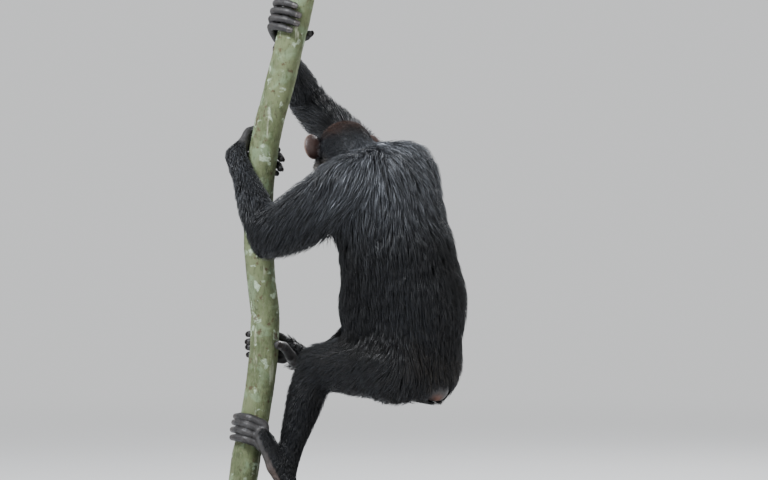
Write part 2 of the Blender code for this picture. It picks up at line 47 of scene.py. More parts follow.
# Grid spacings of the fields that the skin is drawn from
BODY_GRID = 0.0050
HEAD_GRID = 0.0013
DIGIT_GRID = 0.0016
SKIN_TRIANGLES = 300000

# The trunk's line and radius, and the skeleton, in the same frame as the solids
TRUNK_RADIUS = 0.0355
TRUNK_LINE = np.array([
    (-0.258, 0.030, 0.088), (-0.253, 0.030, 0.150), (-0.243, 0.030, 0.215), (-0.226, 0.030, 0.290),
    (-0.213, 0.030, 0.370), (-0.202, 0.030, 0.460), (-0.200, 0.030, 0.540), (-0.209, 0.030, 0.620),
    (-0.216, 0.030, 0.700), (-0.217, 0.030, 0.775), (-0.213, 0.030, 0.850), (-0.204, 0.030, 0.930),
    (-0.190, 0.030, 1.000), (-0.170, 0.030, 1.070), (-0.150, 0.030, 1.150), (-0.131, 0.030, 1.230),
    (-0.111, 0.030, 1.320),
])
PELVIS = np.array((0.155, -0.140, 0.428))
CHEST = np.array((0.093, -0.120, 0.785))
NECK_BASE = np.array((0.072, -0.095, 0.885))
HEAD = np.array((-0.016, -0.020, 0.930))
HIP = {"left": np.array((0.108, -0.196, 0.425)), "right": np.array((0.168, -0.066, 0.430))}
KNEE = {"left": np.array((-0.080, -0.012, 0.425)), "right": np.array((0.100, 0.155, 0.550))}
ANKLE = {"left": np.array((-0.155, -0.010, 0.180)), "right": np.array((-0.076, 0.095, 0.428))}
SHOULDER = {"left": np.array((-0.005, -0.230, 0.858)), "right": np.array((0.036, 0.115, 0.912))}
ELBOW = {"left": np.array((-0.196, -0.102, 0.736)), "right": np.array((-0.108, 0.292, 1.056))}
WRIST = {"left": np.array((-0.268, 0.000, 0.915)), "right": np.array((-0.160, 0.100, 1.170))}
SIDES = ("left", "right")

FINGER_RADIUS = 0.0092
TOE_RADIUS = 0.0095
FINGERS = {
    "left": [
        [(172, 0.938, 0.008), (140, 0.950, 0.003), (97, 0.955, 0.008), (70, 0.946, 0.001), (52, 0.939, 0.0)],
        [(174, 0.925, 0.009), (142, 0.931, 0.003), (90, 0.934, 0.009), (42, 0.922, 0.001), (9, 0.914, 0.0)],
        [(176, 0.910, 0.009), (144, 0.912, 0.003), (91, 0.913, 0.009), (40, 0.900, 0.001), (5, 0.891, 0.0)],
        [(178, 0.897, 0.007), (146, 0.894, 0.003), (99, 0.893, 0.007), (66, 0.885, 0.001), (46, 0.880, 0.0)],
    ],
    "right": [
        [(112, 1.208, 0.008), (128, 1.243, 0.004), (188, 1.264, 0.008), (232, 1.268, 0.001), (262, 1.266, 0.0)],
        [(110, 1.200, 0.009), (130, 1.224, 0.005), (188, 1.245, 0.010), (238, 1.249, 0.001), (278, 1.246, 0.0)],
        [(108, 1.192, 0.009), (132, 1.204, 0.005), (188, 1.226, 0.010), (238, 1.230, 0.001), (278, 1.227, 0.0)],
        [(107, 1.184, 0.007), (134, 1.186, 0.004), (188, 1.208, 0.008), (232, 1.211, 0.001), (263, 1.209, 0.0)],
    ],
}
THUMBS = {
    "left": [(186, 0.935, 0.006), (164, 0.962, 0.004), (138, 0.974, 0.0)],
    "right": [(84, 1.190, 0.006), (52, 1.205, 0.004), (28, 1.214, 0.0)],
}
TOES = {
    "left": [
        [(301, 0.278, 0.010), (298, 0.290, 0.008), (262, 0.298, 0.005), (228, 0.298, 0.0), (205, 0.296, 0.0)],
        [(301, 0.265, 0.011), (298, 0.274, 0.009), (258, 0.281, 0.006), (224, 0.281, 0.0), (200, 0.279, 0.0)],
        [(302, 0.252, 0.011), (298, 0.258, 0.009), (256, 0.264, 0.006), (224, 0.264, 0.0), (202, 0.262, 0.0)],
        [(303, 0.240, 0.010), (299, 0.243, 0.008), (262, 0.248, 0.004), (232, 0.247, 0.0), (213, 0.245, 0.0)],
    ],
    "right": [
        [(34, 0.474, 0.018), (44, 0.487, 0.009), (85, 0.495, 0.006), (122, 0.496, 0.0), (144, 0.494, 0.0)],
        [(35, 0.464, 0.018), (44, 0.471, 0.010), (86, 0.478, 0.007), (124, 0.478, 0.0), (147, 0.476, 0.0)],
        [(36, 0.454, 0.018), (45, 0.455, 0.010), (86, 0.461, 0.007), (122, 0.461, 0.0), (144, 0.459, 0.0)],
        [(37, 0.444, 0.017), (46, 0.440, 0.008), (84, 0.445, 0.005), (116, 0.444, 0.0), (136, 0.442, 0.0)],
    ],
}
BIG_TOES = {
    "left": [(330, 0.218, 0.026), (2, 0.236, 0.012), (44, 0.256, 0.003), (76, 0.262, 0.0)],
    "right": [(24, 0.438, 0.036), (4, 0.452, 0.016), (340, 0.466, 0.004), (316, 0.472, 0.0)],
}
SOLES = {
    "left": [((-0.146, -0.022, 0.140), 0.023), ((-0.172, -0.024, 0.190), 0.024), ((-0.204, -0.024, 0.258), 0.019)],
    "right": [((-0.062, 0.106, 0.394), 0.022), ((-0.100, 0.086, 0.430), 0.023), ((-0.140, 0.066, 0.462), 0.018)],
}
EYE = np.array((0.058, 0.028, -0.008))
EYEBALL_RADIUS = 0.0112
EAR = np.array((0.004, 0.076, 0.006))
EAR_FLARE = 75
NAPE = (-0.030, 0.000, -0.030)


def unit(v):
    v = np.asarray(v, float)
    return v / np.maximum(np.linalg.norm(v, axis=-1, keepdims=True), 1e-9)


def axes(front, up, keep_up=True):
    """Rotation whose columns are a piece's front, left and up, with up (or else front) kept exactly."""
    front, up = unit(front), unit(up)
    left = unit(np.cross(up, front))
    return np.array((np.cross(left, up), left, up) if keep_up else (front, left, np.cross(front, left))).T


def heading(yaw, pitch=0):
    """Horizontal direction turned by yaw from +Y towards -X, raised by pitch, both in degrees."""
    yaw, pitch = math.radians(yaw), math.radians(pitch)
    return np.array((-math.sin(yaw) * math.cos(pitch), math.cos(yaw) * math.cos(pitch), math.sin(pitch)))


TORSO_AXES = axes(heading(52), NECK_BASE - PELVIS)
HEAD_AXES = axes(heading(24, -12), (0, 0, 1), keep_up=False)


def in_head(place):
    return HEAD + HEAD_AXES @ np.asarray(place, float)


def to_head(points):
    return (points - HEAD) @ HEAD_AXES


def lerp(a, b, t):
    return a + (b - a) * t


def smooth_step(x, low, high):
    t = np.clip((x - low) / (high - low), 0, 1)
    return t * t * (3 - 2 * t)


def smooth_line(points, steps=4):
    """Points of a Catmull-Rom curve through the given points."""
    points = [np.asarray(p, float) for p in points]
    ends = [2 * points[0] - points[1]] + points + [2 * points[-1] - points[-2]]
    line = []
    for a, b, c, d in zip(ends, ends[1:], ends[2:], ends[3:]):
        for i in range(steps):
            t = i / steps
            linear = (c - a) * t
            square = (2 * a - 5 * b + 4 * c - d) * t**2
            cube = (3 * b - a - 3 * c + d) * t**3
            line.append(b + 0.5 * (linear + square + cube))
    return np.array(line + [points[-1]])


def trunk_frame(height):
    """The trunk's centre at a height, and its axis."""
    i = int(np.clip(np.searchsorted(TRUNK_LINE[:, 2], height), 1, len(TRUNK_LINE) - 1))
    a, b = TRUNK_LINE[i - 1], TRUNK_LINE[i]
    return lerp(a, b, (height - a[2]) / (b[2] - a[2])), unit(b - a)


def trunk_out(angle, height):
    """The trunk's centre at a height, and the direction out from it at an angle."""
    centre, axis = trunk_frame(height)
    across = np.array((1.0, 0, 0))
    across = unit(across - across @ axis * axis)
    turn = math.radians(angle)
    return centre, across * math.cos(turn) + np.cross(axis, across) * math.sin(turn)


def round_trunk(angle, height, off_bark, radius):
    """The centre of something of that radius held at an angle round the trunk."""
    centre, out = trunk_out(angle, height)
    return centre + out * (TRUNK_RADIUS + radius + off_bark)


# Fields: signed distances on a grid, negative inside


class Field:
    def __init__(self, low, high, grid):
        self.low, self.grid = np.asarray(low, float), grid
        self.shape = tuple(int(math.ceil(n)) + 1 for n in (np.asarray(high) - self.low) / grid)
        self.d = np.full(self.shape, 0.05, np.float32)

    def part(self, centre, reach):
        """The slices of the grid within reach of a place, and the places of their cells."""
        first = np.floor((np.asarray(centre) - reach - self.low) / self.grid).astype(int)
        last = np.ceil((np.asarray(centre) + reach - self.low) / self.grid).astype(int) + 1
        cut = tuple(slice(max(f, 0), min(max(e, 0), n)) for f, e, n in zip(first, last, self.shape))
        spans = [self.low[i] + self.grid * np.arange(cut[i].start, cut[i].stop) for i in range(3)]
        return cut, np.stack(np.meshgrid(*spans, indexing="ij"), -1).astype(np.float32)

    def whole(self):
        return self.part(self.low + np.array(self.shape) * self.grid / 2, 9)

    def add(self, shape, centre, reach, k=0.0):
        """Joins a shape to the field, rounded where they meet by k."""
        cut, p = self.part(centre, reach)
        self.d[cut] = smooth_min(self.d[cut], shape(p), k)

    def cut(self, shape, centre, reach, k=0.0):
        """Takes a shape away from the field."""
        part, p = self.part(centre, reach)
        self.d[part] = -smooth_min(-self.d[part], shape(p), k)

    def sample(self, points):
        """The field at the places, by trilinear steps."""
        q = np.clip((points - self.low) / self.grid, 0, np.array(self.shape) - 1.001)
        i = q.astype(int)
        f = q - i
        out = 0
        for corner in range(8):
            step = np.array([corner >> 2 & 1, corner >> 1 & 1, corner & 1])
            j = i + step
            out = out + np.prod(np.where(step, f, 1 - f), -1) * self.d[j[:, 0], j[:, 1], j[:, 2]]
        return out

    def normal(self, points, step=0.004):
        offsets = np.eye(3) * step
        return unit(np.stack([self.sample(points + o) - self.sample(points - o) for o in offsets], -1))

    def blurred(self, rounds):
        """Rounds of a small blur along each axis."""
        for _ in range(rounds):
            for axis in range(3):
                a = np.moveaxis(self.d, axis, 0)
                b = a.copy()
                b[1:-1] = a[:-2] * 0.25 + a[1:-1] * 0.5 + a[2:] * 0.25
                self.d = np.moveaxis(b, 0, axis)
        return self

    def mesh(self):
        """Vertices and quads of the field's surface."""
        grid = vdb.FloatGrid(1.0)
        grid.copyFromArray(np.ascontiguousarray(self.d))
        points, quads = grid.convertToQuads(isovalue=0.0)
        return points.astype(float) * self.grid + self.low, quads.astype(np.int32)


def smooth_min(a, b, k):
    if k <= 0:
        return np.minimum(a, b)
    h = np.clip(0.5 + 0.5 * (b - a) / k, 0, 1)
    return b + (a - b) * h - k * h * (1 - h)


def ellipsoid(centre, radii, turn=None):
    centre, radii = np.array(centre, np.float32), np.array(radii, np.float32)
    turn = None if turn is None else np.array(turn, np.float32)

    def shape(p):
        q = p - centre
        if turn is not None:
            q = q @ turn
        q = q / radii
        near = np.sqrt((q * q).sum(-1))
        q = q / radii
        return near * (near - 1) / np.maximum(np.sqrt((q * q).sum(-1)), 1e-4)

    return shape


def cone(a, b, ra, rb):
    """A bone with round ends."""
    a, b = np.array(a, np.float32), np.array(b, np.float32)

    def shape(p):
        along = b - a
        t = np.clip((p - a) @ along / max(float(along @ along), 1e-9), 0, 1)
        q = p - a - t[..., None] * along
        return np.sqrt((q * q).sum(-1)) - (ra + (rb - ra) * t)

    return shape


def chain(points, radii):
    cones = [cone(*ends) for ends in zip(points, points[1:], radii, radii[1:])]

    def shape(p):
        d = cones[0](p)
        for one in cones[1:]:
            d = np.minimum(d, one(p))
        return d

    return shape


def span(points, radii):
    """The middle of a chain, and how far it reaches."""
    points = np.asarray(points, float)
    low, high = points.min(0) - max(radii), points.max(0) + max(radii)
    return (low + high) / 2, (high - low) / 2


def random_lattice(seed):
    return np.random.default_rng(seed).uniform(-1, 1, (4096, 3))


LATTICE = random_lattice(3)


def noise(points, size, seed=0):
    """Smooth noise from -1 to 1, three numbers a place, with lumps of about that size."""
    q = np.asarray(points, float) / size + 17.3 * (seed + 1)
    i = np.floor(q).astype(np.int64)
    f = q - i
    f = f * f * (3 - 2 * f)
    out = 0
    for corner in range(8):
        step = np.array([corner >> 2 & 1, corner >> 1 & 1, corner & 1])
        j = i + step
        key = (j[..., 0] * 73856093 ^ j[..., 1] * 19349663 ^ j[..., 2] * 83492791 ^ seed * 2654435) & 4095
        out = out + np.prod(np.where(step, f, 1 - f), -1)[..., None] * LATTICE[key]
    return out


# The regions of the coat, each round a bone from a to b: the bone's radius, the coat's depth, and the hair's length
# at a and at b, which way the hair lies along the bone, and how much it hangs
BONES = [
    ("torso", CHEST + TORSO_AXES @ (-0.02, 0, 0.06), PELVIS, 0.125, (0.024, 0.019), (0.070, 0.060), 1.0, 0.3),
    ("neck", np.array(in_head((-0.01, 0, 0))), NECK_BASE, 0.055, (0.012, 0.020), (0.026, 0.055), 1.0, 0.3),
]
for _side in SIDES:
    BONES += [
        ("girdle_" + _side, NECK_BASE, SHOULDER[_side], 0.055, (0.024, 0.024), (0.062, 0.066), 0.7, 0.4),
        ("upper_" + _side, SHOULDER[_side], ELBOW[_side], 0.050, (0.021, 0.019), (0.058, 0.056), 1.0, 0.8),
        ("fore_" + _side, ELBOW[_side], WRIST[_side], 0.036, (0.018, 0.005), (0.046, 0.020), -1.0, 0.3),
        ("thigh_" + _side, HIP[_side], KNEE[_side], 0.070, (0.021, 0.015), (0.054, 0.046), 1.0, 0.5),
        ("shin_" + _side, KNEE[_side], ANKLE[_side], 0.040, (0.014, 0.004), (0.036, 0.018), 1.0, 0.3),
    ]
BONE_NAMES = [bone[0] for bone in BONES]


def on_bones(points):
    """Each place's share in every bone's region, and how far along each bone it is."""
    shares, alongs = [], []
    for _name, a, b, radius, *_rest in BONES:
        along = b - a
        t = np.clip((points - a) @ along / (along @ along), 0, 1)
        off = np.linalg.norm(points - a - t[:, None] * along, axis=1) - radius
        shares.append(-off / 0.012)
        alongs.append(t)
    shares = np.stack(shares, 1)
    shares = np.exp(shares - shares.max(1, keepdims=True))
    return shares / shares.sum(1, keepdims=True), np.stack(alongs, 1)


def blend_of(shares, alongs, column):
    """The regions' values of one column at each place, mixed by the shares."""
    starts = np.array([bone[column][0] for bone in BONES])
    ends = np.array([bone[column][1] for bone in BONES])
    return (shares * (starts + (ends - starts) * alongs)).sum(1)


def back_share(points):
    """1 on the back of the torso, 0 on its front."""
    front = (points - lerp(PELVIS, NECK_BASE, 0.5)) @ TORSO_AXES[:, 0]
    return 1 - smooth_step(front, -0.03, 0.08)


def coat_depth(points, shares, alongs):
    bare_belly = shares[:, 0] * (1 - back_share(points))
    return blend_of(shares, alongs, 4) * (1 - 0.45 * bare_belly)


SWELLING = PELVIS + TORSO_AXES @ (-0.056, 0.008, -0.068)


def cad_shell(names):
    """The triangles of several CAD nodes."""
    points, triangles, count = [], [], 0
    for name in names:
        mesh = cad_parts[name].data
        mesh.calc_loop_triangles()
        co = np.empty(len(mesh.vertices) * 3, np.float32)
        mesh.vertices.foreach_get("co", co)
        corners = np.empty(len(mesh.loop_triangles) * 3, np.int32)
        mesh.loop_triangles.foreach_get("vertices", corners)
        points.append(co.reshape(-1, 3))
        triangles.append(corners.reshape(-1, 3) + count)
        count += len(points[-1])
    return np.concatenate(points), np.concatenate(triangles).astype(np.uint32)


def cad_field(names, grid, band=12):
    """Distance from the outline of several CAD nodes together, with the thin cuts between them closed."""
    points, triangles = cad_shell(names)
    to_metres = vdb.createLinearTransform(voxelSize=grid)
    level = vdb.FloatGrid.createLevelSetFromPolygons(points, triangles=triangles, transform=to_metres, halfWidth=3)
    points, quads = level.convertToQuads(isovalue=0.001)
    level = vdb.FloatGrid.createLevelSetFromPolygons(points, quads=quads, transform=to_metres, halfWidth=band)
    first = np.floor((points.min(0) - 0.04) / grid).astype(int)
    made = Field(first * grid, points.max(0) + 0.04, grid)
    level.copyToArray(made.d, ijk=tuple(int(n) for n in first))
    made.d += 0.001
    return made


FLESH = sorted(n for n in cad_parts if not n.startswith(("eye", "stand", "perch")))
ENDS = ("head", "ear", "hand", "foot")


def model_body():
    """The field of the body's skin, from the neck to the wrists and ankles, under the coat."""
    body = cad_field([n for n in FLESH if not n.startswith(ENDS)], BODY_GRID)
    body.blurred(6)
    near = np.abs(body.d) < 0.05
    cells = np.argwhere(near) * body.grid + body.low
    shares, alongs = on_bones(cells)
    depth = coat_depth(cells, shares, alongs)
    bare = np.exp(-((np.linalg.norm(cells - SWELLING, axis=1) / 0.045) ** 4))
    body.d[near] += (depth * (1 - bare)).astype(np.float32)
    return body.blurred(2)


def solid(name, points, faces):
    """A mesh object from vertices and equal-sided faces."""
    mesh = bpy.data.meshes.new(name)
    faces = np.asarray(faces, np.int32)
    count, sides = faces.shape
    mesh.vertices.add(len(points))
    mesh.vertices.foreach_set("co", np.asarray(points, np.float32).ravel())
    mesh.loops.add(count * sides)
    mesh.loops.foreach_set("vertex_index", faces.ravel())
    mesh.polygons.add(count)
    mesh.polygons.foreach_set("loop_start", np.arange(0, count * sides, sides, dtype=np.int32))
    mesh.update(calc_edges=True)
    mesh.shade_smooth()
    obj = bpy.data.objects.new(name, mesh)
    bpy.context.scene.collection.objects.link(obj)
    return obj


def bump(field, centre, reach, change):
    """Raises the surface near a place by what change says at each cell, in metres."""
    cut, p = field.part(centre, reach)
    field.d[cut] -= change(p).astype(np.float32)


def gauss(p, centre, sizes):
    q = (p - np.array(centre, np.float32)) / np.array(sizes, np.float32)
    return np.exp(-(q * q).sum(-1))


def groove(points, width, depth):
    """A change that sinks a crease along a line."""
    line = chain(points, [0.0] * len(points))

    def change(p):
        d = line(p)
        return -depth * np.exp(-((d / width) ** 2))

    return change


def model_face():
    """The left half of the head's skin in the head's own frame, without the ear."""
    f = Field((-0.106, 0.0, -0.128), (0.136, 0.112, 0.076), HEAD_GRID)
    # skull and cheeks
    f.add(ellipsoid((-0.013, 0, 0.004), (0.070, 0.056, 0.054)), (0, 0, 0), 9)
    f.add(ellipsoid((-0.042, 0, -0.014), (0.047, 0.050, 0.044)), (0, 0, 0), 9, 0.012)
    f.add(ellipsoid((0.032, 0, 0.002), (0.037, 0.045, 0.035)), (0, 0, 0), 9, 0.012)
    f.add(ellipsoid((0.018, 0, -0.046), (0.046, 0.048, 0.046)), (0, 0, 0), 9, 0.014)
    f.add(ellipsoid((0.046, 0.036, -0.030), (0.025, 0.018, 0.019)), (0.046, 0.036, -0.030), 0.05, 0.012)
    # brow ridge
    brow = [(0.0685, 0.0, 0.0075), (0.0675, 0.013, 0.0105), (0.0655, 0.026, 0.0120), (0.0600, 0.038, 0.0095)]
    brow += [(0.0510, 0.047, 0.0030), (0.0440, 0.0505, -0.0080)]
    sizes = (0.0072, 0.0086, 0.0092, 0.0088, 0.0072, 0.0055)
    f.add(chain(brow, sizes), *span(brow, [0.03]), 0.009)
    # muzzle, lips and jaw
    f.add(ellipsoid((0.066, 0, -0.052), (0.050, 0.036, 0.029)), (0.066, 0, -0.052), 0.085, 0.012)
    f.add(ellipsoid((0.078, 0, -0.060), (0.040, 0.034, 0.019)), (0.078, 0, -0.060), 0.075, 0.008)
    f.add(ellipsoid((0.056, 0, -0.078), (0.052, 0.033, 0.021)), (0.056, 0, -0.078), 0.080, 0.010)
    f.add(ellipsoid((0.088, 0, -0.083), (0.018, 0.022, 0.011)), (0.088, 0, -0.083), 0.050, 0.008)
    # nose: a low bridge, the pad and its wings
    nose = [(0.0665, 0, -0.004), (0.0770, 0, -0.018), (0.0930, 0, -0.029)]
    f.add(chain(nose, (0.0075, 0.0070, 0.0085)), *span(nose, [0.03]), 0.010)
    f.add(ellipsoid((0.0985, 0, -0.0330), (0.0135, 0.0150, 0.0085)), (0.0985, 0, -0.033), 0.040, 0.006)
    f.add(ellipsoid((0.1035, 0.0105, -0.0355), (0.0085, 0.0065, 0.0060)), (0.1035, 0.0105, -0.0355), 0.020, 0.003)
    nostril = axes((0.8, 0.25, -0.5), (0.2, -0.6, 0.8))
    f.cut(ellipsoid((0.1085, 0.0072, -0.0385), (0.0070, 0.0040, 0.0027), nostril), (0.1085, 0.0072, -0.0385), 0.02, 0.0015)
    # eye sockets, lids and the ball's room
    f.cut(ellipsoid((0.0740, 0.0275, -0.0085), (0.0150, 0.0145, 0.0088)), (0.072, 0.0275, -0.0085), 0.03, 0.006)
    lid = EYEBALL_RADIUS + 0.0021
    f.add(ellipsoid(EYE, (lid, lid, lid)), EYE, 0.03, 0.004)
    slit = axes((0.95, 0.28, -0.04), (0.08, -0.16, 1))
    f.cut(ellipsoid(EYE + (0.0118, 0.0026, 0.0), (0.0075, 0.0098, 0.0040), slit), EYE, 0.03, 0.0008)
    room = EYEBALL_RADIUS + 0.0003
    f.cut(ellipsoid(EYE, (room, room, room)), EYE, 0.02)
    # creases: lid folds, bags, nose side, mouth, cheek and brow
    fold = [EYE + n for n in ((0.0135, -0.0100, 0.0030), (0.0150, 0, 0.0062), (0.0120, 0.0095, 0.0040))]
    bump(f, *span(fold, [0.006]), groove(fold, 0.0011, 0.0011))
    for drop, depth in ((0.0075, 0.0012), (0.0112, 0.0010), (0.0150, 0.0008)):
        bag = [(0.0735, 0.0155, -0.010 - drop), (0.0745, 0.0270, -0.012 - drop), (0.0650, 0.0390, -0.008 - drop)]
        bump(f, *span(smooth_line(bag), [0.008]), groove(smooth_line(bag), 0.0013, depth))
    for out, depth in ((0.0, 0.0014), (0.0055, 0.0010)):
        side = [(0.0800, 0.0125 + out, -0.0180), (0.0900, 0.0185 + out, -0.0330), (0.0860, 0.0270 + out, -0.0480)]
        bump(f, *span(smooth_line(side), [0.008]), groove(smooth_line(side), 0.0016, depth))

    def mouth_height(p):
        return -0.0680 + 0.0035 * (p[..., 1] / 0.036) ** 2 + 0.05 * (0.118 - p[..., 0]) ** 2 / 0.058

    def mouth(p):
        off = p[..., 2] - mouth_height(p)
        front = smooth_step(p[..., 0], 0.050, 0.062)
        slit = 0.0048 * np.exp(-((off / 0.0014) ** 2))
        lips = 0.0016 * np.exp(-(((np.abs(off) - 0.0052) / 0.0028) ** 2))
        return (lips - slit) * front

    bump(f, (0.085, 0, -0.068), 0.045, mouth)

    def lip_lines(p):
        fan = np.arctan2(p[..., 1], p[..., 0] - 0.060)
        where = gauss(p, (0.104, 0.012, -0.056), (0.020, 0.032, 0.010)) + gauss(p, (0.104, 0.01, -0.080), (0.02, 0.03, 0.007))
        return 0.00026 * np.sin(fan * 46) * where

    bump(f, (0.10, 0, -0.065), 0.05, lip_lines)
    for height, depth in ((0.0235, 0.0006), (0.0285, 0.0005), (0.0335, 0.0004)):
        line = [(0.066, 0, height - 0.003), (0.062, 0.018, height), (0.054, 0.034, height - 0.004)]
        bump(f, *span(smooth_line(line), [0.006]), groove(smooth_line(line), 0.0014, depth))
    between = [(0.0775, 0.0045, 0.0100), (0.0765, 0.0055, 0.0020), (0.0785, 0.0070, -0.0080)]
    bump(f, *span(between, [0.006]), groove(between, 0.0012, 0.0011))
    return f


def model_ear(f):
    """Adds the left ear to the head's field: a cupped shell with a rolled rim and an inner fold."""
    flare = math.radians(EAR_FLARE)
    out = np.array((-math.cos(flare), math.sin(flare), 0.0))
    hollow = np.array((math.sin(flare), math.cos(flare), 0.0))
    turn = np.array((hollow, out, (0, 0, 1.0))).T
    centre = EAR + hollow * -0.001

    def local(p):
        return (p - centre.astype(np.float32)) @ turn.astype(np.float32)

    def ring(p, across, up, wide, tall, at, radius):
        q = local(p)
        u, v = (q[..., 1] - across) / wide, (q[..., 2] - up) / tall
        near = np.sqrt(u * u + v * v)
        slope = np.sqrt((u / wide) ** 2 + (v / tall) ** 2)
        flat = near * (near - 1) / np.maximum(slope, 1e-4)
        return np.sqrt(flat**2 + (q[..., 0] - at) ** 2) - radius

    def cup(p):
        q = local(p)
        egg = ellipsoid((0, 0, 0), (0.0105, 0.0225, 0.0280))(q)
        return np.maximum(np.abs(egg) - 0.0012, q[..., 0] - 0.0005)

    def lobe_gap(p):
        q = local(p)
        return np.maximum(-(q[..., 2] + 0.020), -(q[..., 1] - 0.004))

    def fold(p):
        q = local(p)
        arc = ring(p, -0.0040, -0.0010, 0.0140, 0.0185, -0.0045, 0.0021)
        return np.maximum(arc, -(q[..., 1] + 0.003 + 0.3 * q[..., 2]))

    reach = 0.045
    f.add(cup, centre, reach, 0.002)
    f.add(lambda p: ring(p, 0, 0, 0.0222, 0.0278, 0.0006, 0.0021), centre, reach, 0.0015)
    f.add(fold, centre, reach, 0.002)
    root = centre + turn @ np.array((-0.004, -0.0155, -0.004))
    f.add(ellipsoid(root, (0.0085, 0.0110, 0.0175), turn), root, reach, 0.005)
    tragus = centre + turn @ np.array((0.0035, -0.0150, -0.0060))
    f.add(ellipsoid(tragus, (0.0040, 0.0040, 0.0062), turn), tragus, 0.02, 0.003)
    hole = centre + turn @ np.array((0.0015, -0.0100, -0.0050))
    f.cut(ellipsoid(hole, (0.0060, 0.0042, 0.0060), turn), hole, 0.02, 0.003)


def model_head():
    """The field of the whole head in the head's own frame, with the neck."""
    half = model_face()
    model_ear(half)
    f = Field((half.low[0], -0.112, half.low[2]), (0.136, 0.112, 0.076), HEAD_GRID)
    f.low[1] = -(half.shape[1] - 1) * HEAD_GRID
    f.d = np.concatenate([half.d[:, :0:-1], half.d], 1)
    f.shape = f.d.shape
    nape = np.array(NAPE)
    base = to_head(NECK_BASE)
    f.add(cone(nape, base, 0.048, 0.050), (nape + base) / 2, 0.13, 0.014)
    return f


def digit_line(root, path, radius):
    """A digit's smooth centreline from its root round the trunk to its tip."""
    return smooth_line([root] + [round_trunk(*place, radius * 0.9) for place in path])


def swollen(count, radius, knuckles):
    """Radii along a digit: thicker at its joints, and rounded down to the tip."""
    t = np.linspace(0, 1, count)
    radii = radius * (1.14 - 0.30 * t)
    for at in knuckles:
        radii += radius * 0.10 * np.exp(-(((t - at) / 0.055) ** 2))
    return list(radii)


def knuckle_creases(field, joint, along, dorsal):
    """Fine creases across the back of a joint."""

    def change(p):
        q = p - joint.astype(np.float32)
        s = q @ along.astype(np.float32)
        back = smooth_step(q @ dorsal.astype(np.float32), -0.002, 0.006)
        return 0.0005 * np.cos(s * 2 * math.pi / 0.0029) * np.exp(-((s / 0.0055) ** 2)) * back

    bump(field, joint, 0.016, change)


def add_digits(field, root, paths, radius, palm_steps, knuckles, k):
    """Joins each digit to the palm or sole, with a clean crease between one digit and the next."""
    palm = field.d.copy()
    done = palm.copy()
    for path in paths:
        line = digit_line(root, path, radius)
        radii = swollen(len(line), radius, knuckles)
        free = line[palm_steps:]
        cut, p = field.part(*span(free, [0.04]))
        digit = chain(free, radii[palm_steps:])(p)
        done[cut] = np.minimum(done[cut], smooth_min(palm[cut], digit, k))
    field.d = done
    for path in paths:
        line = digit_line(root, path, radius)
        for at in knuckles[-2:]:
            i = int(round(at * (len(line) - 1)))
            dorsal = unit(line[i] - trunk_frame(line[i][2])[0])
            knuckle_creases(field, line[i] + dorsal * radius * 0.6, unit(line[i + 1] - line[i - 1]), dorsal)


def hollow_for_trunk(field):
    low, high = field.low, field.low + np.array(field.shape) * field.grid
    line = TRUNK_LINE[(TRUNK_LINE[:, 2] > low[2] - 0.09) & (TRUNK_LINE[:, 2] < high[2] + 0.09)]
    cut, p = field.whole()
    field.d[cut] = -smooth_min(-field.d[cut], chain(line, [TRUNK_RADIUS + 0.0002] * len(line))(p), 0.0010)


def model_hand(side):
    wrist, elbow, radius = WRIST[side], ELBOW[side], FINGER_RADIUS
    paths = FINGERS[side]
    lines = [digit_line(wrist, path, radius) for path in paths + [THUMBS[side]]]
    reach = np.concatenate(lines + [[lerp(elbow, wrist, 0.72)]])
    f = Field(reach.min(0) - 0.036, reach.max(0) + 0.036, DIGIT_GRID)
    arm = [lerp(elbow, wrist, 0.60), lerp(elbow, wrist, 0.82), wrist]
    f.add(chain(arm, (0.0190, 0.0232, 0.0210)), *span(arm, [0.06]))
    for line in lines[:4]:
        f.add(chain(line[:7], np.linspace(0.0150, 0.0100, 7)), *span(line[:7], [0.04]), 0.009)
    thumb = lines[4]
    f.add(chain(thumb[:5], np.linspace(0.0150, 0.0112, 5)), *span(thumb[:5], [0.04]), 0.010)
    add_digits(f, wrist, paths, radius, 5, (0.36, 0.60, 0.82), 0.005)
    add_digits(f, wrist, [THUMBS[side]], radius * 1.08, 3, (0.45, 0.78), 0.005)
    hollow_for_trunk(f)
    return f


def model_foot(side):
    knee, ankle = KNEE[side], ANKLE[side]
    (heel, rh), (instep, ri), (sole, rs) = [(np.array(place), radius) for place, radius in SOLES[side]]
    radius = TOE_RADIUS
    lines = [digit_line(sole, path, radius) for path in TOES[side]]
    big = digit_line(instep, BIG_TOES[side], radius * 1.3)
    reach = np.concatenate(lines + [big, [heel, lerp(knee, ankle, 0.72)]])
    f = Field(reach.min(0) - 0.038, reach.max(0) + 0.038, DIGIT_GRID)
    leg = [lerp(knee, ankle, 0.60), lerp(knee, ankle, 0.82), ankle]
    f.add(chain(leg, (0.0210, 0.0248, 0.0232)), *span(leg, [0.06]))
    bed = [heel, instep, sole]
    f.add(chain(bed, (rh - 0.0010, ri - 0.0010, rs - 0.0005)), *span(bed, [0.06]), 0.010)
    f.add(cone(ankle, instep, 0.0245, 0.0225), (ankle + instep) / 2, 0.09, 0.008)
    tendon = [lerp(knee, ankle, 0.80), heel + 0.25 * (ankle - heel)]
    f.add(chain(tendon, (0.016, 0.014)), *span(tendon, [0.05]), 0.010)
    for line in lines:
        f.add(chain(line[:6], np.linspace(0.0125, 0.0102, 6)), *span(line[:6], [0.04]), 0.007)
    f.add(chain(big[:6], np.linspace(0.0170, 0.0135, 6)), *span(big[:6], [0.05]), 0.009)
    add_digits(f, sole, TOES[side], radius, 5, (0.42, 0.64, 0.84), 0.005)
    add_digits(f, instep, [BIG_TOES[side]], radius * 1.3, 4, (0.50, 0.80), 0.006)
    hollow_for_trunk(f)
    return f


